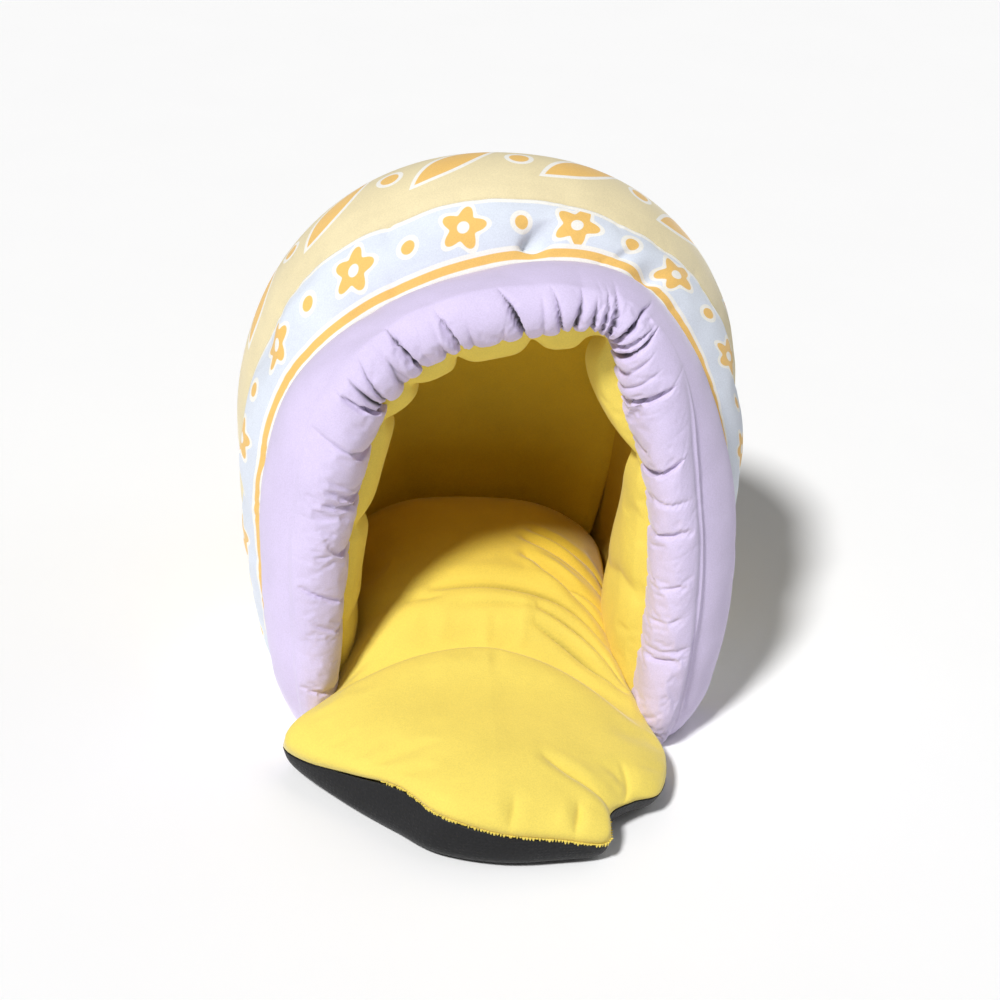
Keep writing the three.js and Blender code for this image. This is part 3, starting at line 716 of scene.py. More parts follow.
def leaf(x, y, lean):
    """Distance to the edge of a pointed leaf that leans back."""
    along = (x * math.cos(lean) + y * math.sin(lean)) / LEAF_LONG
    beside = y * math.cos(lean) - x * math.sin(lean)
    return abs(beside) + (along * along - 1.0) * LEAF_WIDE


def painted(cloth, ground, *motifs):
    """Motifs over a ground colour: each an orange shape with a white outline round it."""
    colour = ground
    for distance in motifs:
        colour = cloth.blend(inside(distance - PRINT_OUTLINE), colour, WHITE)
        colour = cloth.blend(inside(distance), colour, ORANGE)
    return colour


def band_print():
    """Pale blue with a stripe along the rim, and flowers with dots between them."""
    cloth = Finish("printed_band_plush")
    along, across = cloth.attribute("along"), cloth.attribute("across")
    x = repeat(along, BAND_PITCH)
    between = repeat(along + BAND_PITCH / 2, BAND_PITCH)
    stripe = abs(cloth.attribute("from_rim") - STRIPE_MIDDLE) - STRIPE_HALF
    dot = from_middle(between, across) - BAND_DOT
    colour = painted(cloth, PALE_BLUE, flower(x, across), dot, stripe)
    for white in (from_middle(x, across) - FLOWER_HEART, cloth.attribute("to_crown") - BAND_EDGE):
        colour = cloth.blend(inside(white), colour, WHITE)
    return plush(cloth, colour)


def crown_print():
    """Cream with two rows of leaves that lean both ways, and dots between them."""
    cloth = Finish("printed_crown_plush")
    along, back = cloth.attribute("along"), cloth.attribute("from_band")
    motifs = []
    for row, lean, shift in zip(LEAF_ROWS, (LEAF_LEAN, -LEAF_LEAN), (0.0, CROWN_PITCH / 2)):
        y = back - row
        motifs.append(leaf(repeat(along + shift, CROWN_PITCH), y, lean))
        between = repeat(along + (shift + CROWN_PITCH / 2), CROWN_PITCH)
        motifs.append(from_middle(between, y) - CROWN_DOT)
    return plush(cloth, painted(cloth, CREAM, *motifs))


def nonslip():
    """Matt black cloth with small raised grip dots."""
    cloth = Finish("nonslip_cloth")
    dark, light = ([c * share for c in BLACK] for share in BLACK_TONES)
    cloth.give(
        cloth.shader,
        Base_Color=cloth.blend(cloth.noise(BLACK_PATCHES), dark, light),
        Roughness=cloth.ramp(cloth.noise(*GRAIN), *GRAIN_ROUGHNESS),
        Specular_IOR_Level=0.3,
        Sheen_Weight=0.05,
    )
    dots = cloth.give(cloth.node("ShaderNodeTexVoronoi"), Vector=cloth.place(), **GRIP_DOTS)
    from_dot = Field(cloth, dots.outputs["Distance"])
    cloth.bump(cloth.ramp(from_dot, *DOT_EDGES), DOT_STRENGTH, DOT_DEPTH)
    return cloth.material


# Pieces
def rim_body(t, s):
    """The rim without its gathers: t along the mouth, s round the section from the lining to the shell."""
    open_edge, welt, seam = (outline(name, t) for name in ("open", "welt", "seam"))
    core = mix(open_edge, welt, RIM_CORE)
    tuck = FOOT_TUCK_SHARE * clamp01(1 - core[..., 1] / FOOT_TUCK_HEIGHT) ** 2
    section = {key: column(rows, s) for key, rows in RIM_SECTION.items()}
    point = mix(open_edge, welt, clamp01(section["welt"])[..., None])
    point = mix(point, seam, clamp01(section["seam"])[..., None])
    point = point + outward(t) * section["push"][..., None]
    front = clamp01((RIM_DEPTH - section["depth"]) / FOOT_TUCK_FRONT)
    point = mix(point, core, tuck[..., None])
    point[..., 1] *= np.sign(t * (1 - t))
    depth = mix(section["depth"], RIM_DEPTH, tuck * front)
    y = MOUTH_Y + depth + LEAN * point[..., 1]
    return np.stack([point[..., 0], y, point[..., 1] + FOOT_Z], -1)


def gathers(t, reach_out, width, longer=1.0):
    """Depth of the rim's gathers at t along the mouth and a distance outwards from the opening's edge."""
    deep = np.zeros_like(reach_out)
    for at, lean, visible, depth, wide in zip(*GATHERS.values()):
        reach = visible * longer + HIDDEN_REACH
        along = (t - at) * OPENING_LENGTH + lean * np.maximum(reach_out - HIDDEN_REACH, 0)
        out = clamp01(reach_out / reach)
        spread = wide * width * (GATHER_WIDE - GATHER_NARROWS * out)
        deep = deep + depth * (1 - out ** GATHER_END) * crease(along, spread)
    return DEEPEST_GATHER * (1 - np.exp(-deep / DEEPEST_GATHER))


def ripples(seed, kind, along, across, length):
    """Small random creases on a surface with two lengths for coordinates."""
    count, reach, sizes = kind
    draw = np.random.default_rng(seed)
    deep = np.zeros_like(along)
    for _ in range(count):
        x = draw.uniform(0, length)
        y = draw.uniform(*reach)
        turn = draw.normal(0, CREASE_TURN)
        long, wide, height = (draw.uniform(*size) for size in sizes)
        u = (along - x) * math.cos(turn) + (across - y) * math.sin(turn)
        v = (across - y) * math.cos(turn) - (along - x) * math.sin(turn)
        deep += height * crease(u, wide) * bell(v, long)
    return deep


def rim_grid(rows, steps):
    """Places along the mouth and round the section, and the rim's surface without gathers there."""
    t, s = grid(np.linspace(0, 1, rows), steps)
    return t, s, rim_body(t, s)


def rim_lengths(body, s):
    """Distances outwards along the section from the opening's edge and from the welt."""
    out = lengths(body, 1)
    inner, welt = (np.abs(s[0] - at).argmin() for at in (RIM_INNER, RIM_WELT))
    return out - out[:, inner:inner + 1], out - out[:, welt:welt + 1]


def soft_rim():
    """The rim's filled face with the start of its gathers, on a coarse grid."""
    rows, columns = RIM_COARSE
    t, s, body = rim_grid(rows, np.linspace(0, 1, columns))
    from_opening, _ = rim_lengths(body, s)
    soft = SOFT_DEPTH * rim_fade(t, s) * gathers(t, from_opening, SOFT_WIDTH)
    held = np.maximum(1 - smooth(s, *RIM_SEWN), smooth(s, *RIM_WELTED))
    held = np.maximum(held, 1 - off_feet(t))
    taut = np.maximum(smooth(s, *RIM_TAUT), SIDES_TAUT * rim_sides(t))
    start = body - outer_normals(body) * soft[..., None]
    faces = grid_faces(rows, columns)
    return settle(start, faces, held, taut, fullness=0.1, pressure=12.0, most=8.0, bend=0.5)


def welt_rise(distance):
    """Height of the welt's ridge and of the dips beside it."""
    (high, wide), (beside, spread) = WELT_RIDGE, WELT_DIP
    dips = [deep * bell(distance + side * beside, spread) for deep, side in zip(WELT_DIPS, (1, -1))]
    return high * bell(distance, wide) - dips[0] - dips[1]


def rim_face():
    """The rim's face with its sharp gathers, welt and small creases, and the painted shade for its gathers.
    """
    rows, columns = RIM_FINE
    t, s, body = rim_grid(rows, np.interp(np.linspace(0, 1, columns), *RIM_STEPS))
    from_opening, to_welt = rim_lengths(body, s)
    t = follow_gathers(t, from_opening)
    face = refine(soft_rim(), t, s)
    along = t * OPENING_LENGTH
    small = ripples(CREASE_SEED, RIM_CREASES, along, from_opening, OPENING_LENGTH)
    small += ripples(WAVE_SEED, RIM_WAVES, along, from_opening, OPENING_LENGTH)
    small *= 1 - SIDES_FLAT * rim_sides(t)
    lip = mix(1, smooth(s, *RIM_LIP), smooth(t, *TOP_RIGHT))
    fade = rim_fade(t, s)
    sharp = fade * gathers(t, from_opening, SHARP_WIDTH, SHARP_LONGER) * lip
    shade = fade * gathers(t, from_opening, SHADE_WIDTH, SHADE_LONGER) * lip
    shift = fade * (welt_rise(to_welt) * smooth(t, *WELT_FROM) - small) - SHARP_DEPTH * sharp
    return face + outer_normals(face) * shift[..., None], shade


def front_rim():
    """The lilac roll round the mouth, gathered along its inner edge."""
    face, shade = rim_face()
    across = np.linspace(0, 1, RIM_BACK + 2)[1:-1][None, :, None]
    points = np.concatenate([face, mix(face[:, -1:], face[:, :1], across)], 1)
    # Painted shade: the gathers' darkening, carried to the colour by the crease attribute.
    dark = np.concatenate([shade, np.zeros((len(face), RIM_BACK))], 1) / DEEPEST_GATHER / MM
    finish = plush(Finish("lilac_plush"), LILAC, crease_tone=0.95)
    made = piece("gathered_rim", points, tube_faces(*points.shape[:2]), finish, {"crease": dark})
    dress(made, "lilac_plush", "front_rim")


def follow_gathers(t, reach_out):
    """Places along the mouth, shifted so that lines across the rim run along its gathers."""
    near = bell(t[..., None] - GATHERS["at"], LEAN_EVEN)
    lean = (near * GATHERS["lean"]).sum(-1) / (near.sum(-1) + LEAN_SPARSE)
    out = np.clip(reach_out - HIDDEN_REACH, 0, LEAN_REACH)
    shift = lean * out / OPENING_LENGTH * off_feet(t)
    return np.maximum.accumulate(clamp01(t - shift), 0)


def rim_sides(t):
    """1 at the rim's sides, where the cloth is pulled flat, and 0 over the top, where it is gathered."""
    return np.maximum(1 - smooth(t, *TOP_LEFT), smooth(t, *TOP_RIGHT))


def off_feet(t, reach=FOOT_FADE):
    """1 along the arch, 0 at its two feet."""
    return smooth(t, 0.0, reach) * smooth(1 - t, 0.0, reach)


def rim_fade(t, s):
    """1 over the rim's face, 0 at its feet and at its lining seam."""
    return off_feet(t) * smooth(s, 0.0, RIM_EDGE)


def outer_normals(face):
    """Normals of the rim's face, out of its filling."""
    away = normals(face)
    top = away[face.shape[0] // 2, face.shape[1] // 2]
    return away if top[1] < 0 else -away


def refine(coarse, t, s):
    """A grid of points carried over to a finer grid by smooth curves."""
    across = column(np.swapaxes(coarse, 0, 1), s[0])
    return np.stack([column(line, at) for line, at in zip(across, t.T)], 1)


def evened(move, passes):
    """Moves of a grid of points, each averaged with its neighbours along the rows."""
    for _ in range(passes):
        move[1:-1] = (move[:-2] + 2 * move[1:-1] + move[2:]) / 4
    return move


def settle(points, faces, held, taut, fullness, pressure, most, bend, passes=0):
    """Points of a cloth after it is filled and has found its own wrinkles.

    held is 1 where it is sewn down, and taut is 0 where it has the most cloth to spare.
    """
    scene = bpy.context.scene
    flat = points.reshape(-1, 3)
    mesh = bpy.data.meshes.new("trial")
    mesh.from_pydata((flat * MM).tolist(), [], faces.tolist())
    trial = bpy.data.objects.new("trial", mesh)
    scene.collection.objects.link(trial)
    for name, values in (("held", held), ("taut", taut)):
        group = trial.vertex_groups.new(name=name)
        weights = np.round(values.reshape(-1), 2)
        for weight in np.unique(weights):
            group.add(np.flatnonzero(weights == weight).tolist(), float(weight), "REPLACE")
    cloth = trial.modifiers.new("cloth", "CLOTH")
    settings = cloth.settings
    settings.quality = TRIAL_QUALITY
    settings.mass = TRIAL_MASS
    settings.bending_stiffness = bend
    settings.effector_weights.gravity = 0.0
    settings.use_pressure = True
    settings.uniform_pressure_force = pressure
    settings.vertex_group_mass = "held"
    settings.vertex_group_shrink = "taut"
    settings.shrink_min = -fullness
    settings.shrink_max = 0.0
    cloth.point_cache.frame_start = 1
    cloth.point_cache.frame_end = TRIAL_FRAMES
    for number in range(1, TRIAL_FRAMES + 1):
        scene.frame_set(number)
    shaped = trial.evaluated_get(bpy.context.evaluated_depsgraph_get())
    settled = np.empty(len(flat) * 3, np.float32)
    shaped.data.vertices.foreach_get("co", settled)
    scene.frame_set(1)
    bpy.data.objects.remove(trial)
    bpy.data.meshes.remove(mesh)
    move = evened(settled.reshape(points.shape).astype(float) / MM - points, passes)
    size = np.maximum(np.linalg.norm(move, axis=-1, keepdims=True), 1e-6)
    return points + move * (most * np.tanh(size / most) / size)


def wall_pad(name, outer, inner, finish, attributes):
    """A padded piece between two skins of the walls."""
    points = np.concatenate([outer, inner[:, ::-1]], 1)
    values = {key: np.concatenate([value, value[:, ::-1]], 1) for key, value in attributes.items()}
    return piece(name, points, tube_faces(*points.shape[:2]), finish, values)


def shell_face(rows, columns, first, last):
    """The shell's outer cloth between two shares of the depth, which may differ along the arch."""
    t, index = grid(np.linspace(0, 1, rows), np.linspace(0, 1, columns))
    share = mix(first(t), last(t), index)
    return t, index, share, place(outer_skin(t, share), share)


def filled_shell(rows, columns, first, last, seed):
    """The shell's outer cloth after filling, with puckers along its seams, and its places on the walls."""
    t, index, _, start = shell_face(rows // 2, columns // 2, first, last)
    held = np.maximum(1 - smooth(index, 0.0, SHELL_SEWN), smooth(index, 1 - SHELL_SEWN, 1.0))
    held = np.maximum(held, 1 - off_feet(t))
    faces = grid_faces(*t.shape)
    coarse = settle(start, faces, held, 0 * t, fullness=0.018, pressure=10.0, most=6.0, bend=3.0, passes=4)
    t, index, share, _ = shell_face(rows, columns, first, last)
    fine = refine(coarse, t, index)
    seams = np.minimum(lengths(fine, 1), lengths(fine[:, ::-1], 1)[:, ::-1])
    small = ripples(seed, SEAM_PUCKERS, t * ARCH_LENGTH, seams, ARCH_LENGTH)
    fine = fine - normals(fine) * (small * off_feet(t, PUCKER_FADE))[..., None]
    return t, share, fine


def pleats(t, from_rim):
    """Depth of the band's pleats, which start beside its seam with the rim and run out."""
    deep = np.zeros_like(t)
    for at, lean, reach, depth, steep, easy in zip(*PLEATS.values()):
        along = (t - at) * ARCH_LENGTH - lean * from_rim
        across = bell(along, np.where(along < 0, steep, easy))
        deep = deep + depth * across * (1 - clamp01(from_rim / reach) ** 2)
    return deep * smooth(from_rim, PLEAT_FROM, PLEAT_FULL)


def shell_band():
    """The pale blue front band of the shell."""
    rows, columns = 460, 44
    t, share, outer = filled_shell(rows, columns, np.zeros_like, band_end, BAND_SEED)
    inner = place(middle_skin(t, share, 0), share)
    out = lengths(outer, 1)
    along = lengths(outer, 0)[:, columns // 2:columns // 2 + 1] * np.ones((1, columns))
    attributes = {
        "along": along - along[rows // 2, 0],
        "across": out - (out[:, -1:] + STRIPE_ROOM) / 2,
        "from_rim": out,
        "to_crown": out[:, -1:] - out,
    }
    outer = outer - normals(outer) * pleats(t, out)[..., None]
    made = wall_pad("band_cover", outer, inner, band_print(), attributes)
    dress(made, "printed_band", "shell_band")


def shell_crown():
    """The cream dome of the shell behind the band."""
    rows, columns = 440, 96
    t, share, outer = filled_shell(rows, columns, crown_start, np.ones_like, CROWN_SEED)
    inner = place(middle_skin(t, share, 0), share)
    along = lengths(outer, 0)[:, columns // 4:columns // 4 + 1] * np.ones((1, columns))
    attributes = {"along": along - along[rows // 2, 0], "from_band": lengths(outer, 1)}
    made = wall_pad("crown_cover", outer, inner, crown_print(), attributes)
    dress(made, "printed_crown", "shell_crown")


def arch_fan(section, rings, depth):
    """A panel across the walls, fanned out from the middle of its foot."""
    points = section[:, None] * rings[None, :, None]
    y = depth[None] * np.ones((len(section), 1))
    return np.stack([points[..., 0], y, points[..., 1] + FOOT_Z], -1)


def fan_faces(rows, columns):
    """Quads between two fans of the same size: both sides, and their rims."""
    sheet = grid_faces(rows, columns)
    other = sheet[:, ::-1] + rows * columns
    rim = np.arange(rows - 1) * columns + columns - 1
    edge = np.stack([rim, rim + columns, rim + columns + rows * columns, rim + rows * columns], -1)
    first, last = np.arange(columns - 1), (rows - 1) * columns + np.arange(columns - 1)
    foot = np.stack([first, first + 1, first + 1 + rows * columns, first + rows * columns], -1)
    foot_last = np.stack([last + 1, last, last + rows * columns, last + 1 + rows * columns], -1)
    return np.concatenate([sheet, other, edge, foot, foot_last])


def panel_pad(name, front, rear, finish):
    """A padded panel between two fans."""
    points = np.stack([front, rear]).reshape(-1, 3)
    return piece(name, points, fan_faces(*front.shape[:2]), finish)


def lining_back():
    """The yellow back wall of the cave, with a rounded edge."""
    rows, columns = 160, 50
    t = np.linspace(0, 1, rows)
    rings = np.linspace(FAN_START, 1, columns)
    section = middle_skin(t, LINING_END * np.ones(rows), WALL_GAP)
    rear_section = middle_skin(t, np.ones(rows), WALL_GAP)
    start = WALL_Y + WALL_DEPTH * LINING_END + PANEL_GAP
    front = arch_fan(section, rings, start - BACK_WALL_COVE * smooth(rings, *COVE_SHARE))
    front[..., 1] += LEAN * (front[..., 2] - FOOT_Z) * (1 - LINING_END)
    rear = arch_fan(rear_section, rings, BACK_Y + 0 * rings)
    # The back wall takes the shaded copy of the yellow: painted shade.
    made = panel_pad("lining_wall", front, rear, plush(Finish("lining_wall_shaded_plush"), SHADED_WALL_YELLOW))
    dress(made, "yellow_lining", "lining_back")


def back_swell(share):
    """How far the back panel stands out, at a share of the way from its middle to its edge."""
    return BACK_SWELL * (1 - share ** BACK_POWER) ** BACK_ROUND


def back_panel():
    """The plain panel that closes the shell behind."""
    rows, columns = 200, 70
    rings = np.sin(np.linspace(FAN_START, 1, columns) * math.pi / 2)
    section = outer_skin(np.linspace(0, 1, rows), np.ones(rows))
    start = BACK_Y + PANEL_GAP
    front = arch_fan(section, rings, start + 0 * rings)
    rear = arch_fan(section, rings, start + BACK_EDGE + back_swell(rings))
    made = panel_pad("back_cover", front, rear, plush(Finish("cream_plush"), CREAM))
    dress(made, "cream_plush", "back_panel")


def yellow_plush_painted_shade(name, **touch):
    """Yellow pile with painted shade: deeper and more orange towards the back of the cave."""
    cloth = Finish(name)
    colour = cloth.blend(cloth.attribute("inner"), YELLOW, PAINTED_SHADE_YELLOW)
    return plush(cloth, colour, **touch)


def lining_tuck(share):
    """How far the lining's front edge is tucked in under the rim."""
    return SEAM_TUCK * (1 - smooth(share, PUFF_START, PUFF_START + TUCK_SHARE))


def lining_face(rows, front_columns, columns):
    """The lining's inner cloth from under the rim to the back, with close columns at the front."""
    steps = np.concatenate([
        np.linspace(PUFF_START, LINING_LIP, front_columns),
        LINING_END * np.linspace(0, 1, columns) ** LINING_CLOSER,
    ])
    t, share = grid(np.linspace(0, 1, rows), steps)
    face = place(inner_skin(t, share) + outward(t) * lining_tuck(share)[..., None], share)
    return t, share, face


def lining_arch():
    """The puffed yellow lining of the cave."""
    t, share, start = lining_face(*LINING_COARSE)
    sewn = 1 - smooth(share, *(PUFF_START + step for step in LINING_SEWN))
    held = np.maximum(sewn, smooth(share, *LINING_STILL))
    held = np.maximum(held, 1 - off_feet(t))
    held = np.maximum(held, pinches(t, PINCH_CORE) * (1 - smooth(share, *PINCH_SEWN)))
    faces = grid_faces(*t.shape)[:, ::-1]
    coarse = settle(start, faces, held, 0 * t, fullness=0.005, pressure=14.0, most=7.0, bend=8.0)
    t, share, _ = lining_face(*LINING_FINE)
    inner = refine(coarse, t, np.linspace(0, 1, share.shape[1])[None])
    behind = middle_skin(t, clamp01(share), SEAM_GAP)
    under_rim = outline("open", t) + outward(t) * (lining_tuck(share) + 1)[..., None]
    outer = place(np.where(share[..., None] < 0, under_rim, behind), share)
    # Painted shade: the lining's yellow darkens towards the back of the cave.
    deep = smooth(share, *LINING_PAINTED_SHADE) / MM
    made = wall_pad("lining_puffs", outer, inner, yellow_plush_painted_shade("lining_plush", sheen=0.1), {"inner": deep})
    dress(made, "yellow_lining", "lining_arch")


# Mat and base
def mat_edge(name, turn):
    """A value of the mat's edge at a share of the turn round it."""
    return column(MAT_EDGE[name], turn, closed=True)


def mat_ray(turn):
    """Lines in plan from the mat's centre to its edge."""
    return np.stack([mat_edge("x", turn), mat_edge("y", turn)], -1) - MAT_CENTRE


def line_place(x, y, points):
    """Distance from places in plan to a curve through four points, and the share of the way along it."""
    steps = 18
    path = column(np.array(points, float).reshape(4, 2), np.linspace(0, 1, steps + 1))
    best = np.full(x.shape, 1e9)
    at = np.zeros(x.shape)
    for i, ((ax, ay), (bx, by)) in enumerate(zip(path[:-1], path[1:])):
        along = clamp01(((x - ax) * (bx - ax) + (y - ay) * (by - ay)) / ((bx - ax) ** 2 + (by - ay) ** 2))
        away = np.hypot(x - mix(ax, bx, along), y - mix(ay, by, along))
        at = np.where(away < best, (i + along) / steps, at)
        best = np.minimum(best, away)
    return best, at


def mat_plump(y, ring):
    """Share of the way up from the seam to the mat's top."""
    tongue = smooth(-y, -TONGUE_FROM, -TONGUE_TO)
    power = mix(CAVE_POWER, TONGUE_POWER, tongue)
    return (1 - ring ** power) ** mix(CAVE_ROUND, TONGUE_ROUND, tongue)


def mat_fold(x, y):
    """Valley behind the tongue's plump back edge, and the edge's ridge."""
    around = np.hypot((x - FOLD_X) / FOLD_ACROSS, (y - FOLD_Y) / FOLD_ALONG)
    behind = (around - 1) * FOLD_ALONG
    front = smooth(y, FOLD_FROM, FOLD_FULL)
    valley = behind - FOLD_STEEP
    deep = front * bell(valley, np.where(valley < 0, FOLD_STEEP, FOLD_EASY))
    return deep, front * bell(behind + 2 * FOLD_STEEP, 2 * FOLD_STEEP)


def mat_top(x, y, ring, seam):
    """Height of the mat's upper cloth before it creases."""
    plump = mat_plump(y, ring)
    tongue = smooth(-y, -TONGUE_FROM, -TONGUE_TO)
    valley, ridge = mat_fold(x, y)
    cave = CAVE_TOP - CAVE_FALL * ((x - CAVE_PEAK) / CAVE_HALF) ** 2
    top = mix(cave, TONGUE_TOP - TONGUE_TILT * np.maximum(x, 0), tongue)
    height = mix(seam, top, plump)
    return np.maximum(height + plump * (FOLD_RIDGE * ridge - FOLD_DEEP * valley), seam)


def mat_creases(x, y, width):
    """Depth of the mat's folds, which taper to their ends and stand up a little on both sides."""
    deep = np.zeros_like(x)
    for *path, depth, wide in zip(*MAT_CREASES.values()):
        distance, at = line_place(x, y, path)
        taper = np.sin(math.pi * mix(*CREASE_ENDS, at)) ** CREASE_TAPER
        half = wide * width
        lip = CREASE_LIP * bell(distance - 2 * half, CREASE_LIP_WIDE * half)
        deep = deep + depth * taper * (crease(distance, half) - lip)
    return deep


def mat_grid(count):
    """A square grid, even in the middle and drawn out to the mat's outline: turn, ring and place in plan."""
    u, v = grid(np.linspace(-1, 1, count), np.linspace(-1, 1, count))
    disc_x, disc_y = u * np.sqrt(1 - v * v / 2), v * np.sqrt(1 - u * u / 2)
    ring = clamp01(np.hypot(disc_x, disc_y))
    turn = (np.arctan2(disc_y, disc_x) / (2 * math.pi)) % 1.0
    angle = 2 * math.pi * turn + MAT_TWIST
    even = MAT_MIDDLE * np.stack([np.cos(angle), np.sin(angle)], -1)
    rays = mix(even, mat_ray(turn), smooth(ring, 0.0, 1.0)[..., None])
    return turn, ring, MAT_CENTRE + rays * ring[..., None]


def mat_start(count):
    """The mat's upper cloth with its soft folds, before it is filled."""
    turn, ring, plan = mat_grid(count)
    x, y = plan[..., 0], plan[..., 1]
    seam = mat_edge("seam", turn)
    height = mat_top(x, y, ring, seam)
    height -= SOFT_FOLD * np.sqrt(mat_plump(y, ring)) * mat_creases(x, y, SOFT_FOLD_WIDTH)
    return turn, ring, np.stack([x, y, np.maximum(height, seam)], -1)


def mat_upper():
    """The mat's upper cloth, filled and creased, on a fine grid."""
    _, ring, start = mat_start(MAT_COARSE)
    valley, _ = mat_fold(start[..., 0], start[..., 1])
    held = np.maximum(smooth(ring, *MAT_SEWN), FOLD_SEWN * valley)
    faces = outward_up(start, grid_faces(MAT_COARSE, MAT_COARSE))
    even = 0 * ring
    filled = settle(start, faces, held, even, fullness=0.008, pressure=10.0, most=6.0, bend=10.0, passes=3)
    turn, ring, fine = mat_start(MAT_COUNT)
    steps = np.linspace(0, 1, MAT_COUNT)
    fine = fine + refine(filled - start, *grid(steps, steps))
    x, y = fine[..., 0], fine[..., 1]
    sharp = np.sqrt(mat_plump(y, ring)) * mat_creases(x, y, SHARP_FOLD_WIDTH)
    fine[..., 2] -= SHARP_FOLD * sharp
    return turn, ring, fine, sharp


def outward_up(points, faces):
    """The faces of a cloth that lies on its filling, facing up."""
    flat = points.reshape(-1, 3)
    a, b, d = (flat[faces[:, i]] for i in (0, 1, 3))
    return faces if np.cross(b - a, d - a)[:, 2].sum() > 0 else faces[:, ::-1]


def mat():
    """The filled yellow mat, which runs out of the mouth as a tongue."""
    turn, ring, top, sharp = mat_upper()
    rays = mat_ray(turn)
    side = smooth(ring, *UNDER_SIDE)
    inset = 1 - UNDER_INSET * (1 - side) * smooth(ring, *UNDER_DRAWN) / np.linalg.norm(rays, axis=-1)
    low = MAT_CENTRE + rays * (ring * inset)[..., None]
    under = np.stack([low[..., 0], low[..., 1], mix(FOOT_Z, mat_edge("seam", turn), side ** 3)], -1)
    edge = ring > 1 - 1e-6
    under[edge] = top[edge]
    sheet = grid_faces(MAT_COUNT, MAT_COUNT)
    points = np.concatenate([top.reshape(-1, 3), under.reshape(-1, 3)])
    faces = np.concatenate([sheet, sheet[:, ::-1] + MAT_COUNT * MAT_COUNT])
    # Painted shade: the sharp folds darken the colour through the crease attribute.
    shade = np.concatenate([sharp.reshape(-1), 0 * sharp.reshape(-1)]) / DEEPEST_GATHER / MM
    finish = yellow_plush_painted_shade("mat_plush", crease_tone=0.4)
    # Painted shade: the mat's yellow darkens towards the back of the cave.
    deep = smooth(points[:, 1], *MAT_PAINTED_SHADE) / MM
    made = piece("tongue_mat", points, faces, finish, {"crease": shade, "inner": deep})
    weld(made)
    dress(made, "yellow_mat", "cushion")


def weld(made):
    """Joins points that lie on each other along a seam."""
    work = bmesh.new()
    work.from_mesh(made.data)
    bmesh.ops.remove_doubles(work, verts=work.verts, dist=1e-6)
    work.to_mesh(made.data)
    work.free()


def footprint():
    """Plan of the walls' feet from the right of the mouth round the back to the left."""
    share = np.linspace(0, 1, FOOT_STEPS)
    right = place(outer_skin(np.ones_like(share), share), share)
    left = place(outer_skin(np.zeros_like(share), share), share)[::-1]
    across = np.array(BEHIND)
    y = BACK_Y + BACK_EDGE + back_swell(np.abs(across))
    behind = np.stack([across * WALLS["foot"][-1], y, 0 * across], -1)
    toe_y = MOUTH_Y + RIM_DEPTH * FOOT_TUCK_SHARE
    toes = np.array([(MOUTH["welt_x"][-1], toe_y, 0), (MOUTH["welt_x"][0], toe_y, 0)])
    return np.concatenate([toes[:1], right, behind, left, toes[1:]])[:, :2]


def reach_of(rays, feet):
    """Distance from the mat's centre along each ray to the walls' feet, or to the mat's edge."""
    long = np.linalg.norm(rays, axis=-1)
    found = long.copy()
    for start, end in zip(feet[:-1] - MAT_CENTRE, feet[1:] - MAT_CENTRE):
        side = end - start
        cross = rays[:, 0] * side[1] - rays[:, 1] * side[0]
        along = (start[0] * rays[:, 1] - start[1] * rays[:, 0]) / cross
        out = (start[0] * side[1] - start[1] * side[0]) / cross
        hit = (along >= 0) & (along <= 1) & (out > 0)
        found = np.where(hit, out * long - BASE_INSET, found)
    return found


def base_panel():
    """The base cloth's two faces: flat, then up round the tongue, or out to the walls' feet."""
    turns, flat_rings, wall_rows = 420, np.array([0.04, 0.25, 0.5, 0.75, 0.92]), 22
    turn = np.arange(turns) / turns
    rays = mat_ray(turn)
    long = np.linalg.norm(rays, axis=-1)
    rise = clamp01(mat_edge("rise", turn))
    height = rise * mat_edge("seam", turn)
    up = np.linspace(0, 1, wall_rows)
    out = column(UNDERSIDE["out"], up)
    lift = column(UNDERSIDE["up"], up)
    belly = mat_edge("belly", turn)[:, None] * (1 - lift)
    turned_up = long[:, None] + out + belly
    distance = np.concatenate([turned_up[:, :1] * flat_rings, turned_up], 1)
    z = np.concatenate([np.zeros((turns, len(flat_rings))), height[:, None] * lift], 1)
    last = distance[:, -1]
    reach = np.maximum(mix(reach_of(rays, footprint()), last, rise), last)
    distance = np.concatenate([distance, mix(last, reach, 0.5)[:, None], reach[:, None]], 1)
    z = np.concatenate([z, z[:, -1:], z[:, -1:]], 1)
    plan = MAT_CENTRE + (rays / long[:, None])[:, None] * distance[..., None]
    lower = np.concatenate([plan, np.maximum(z, 0)[..., None]], -1)
    slope_out, slope_up = np.gradient(distance, axis=1), np.gradient(z, axis=1)
    steep = np.hypot(slope_out, slope_up) + 1e-9
    inward = (rays / long[:, None])[:, None] * (-slope_up / steep)[..., None]
    upper = lower + BASE_CLOTH * np.concatenate([inward, (slope_out / steep)[..., None]], -1)
    upper[..., 2] = np.maximum(upper[..., 2], BASE_CLOTH)
    points = np.concatenate([lower, upper[:, ::-1]], 1)
    faces = grid_faces(turns + 1, points.shape[1]) % (turns * points.shape[1])
    middle = np.array([MAT_CENTRE.tolist() + [0.0], MAT_CENTRE.tolist() + [BASE_CLOTH]])
    return points, faces, middle


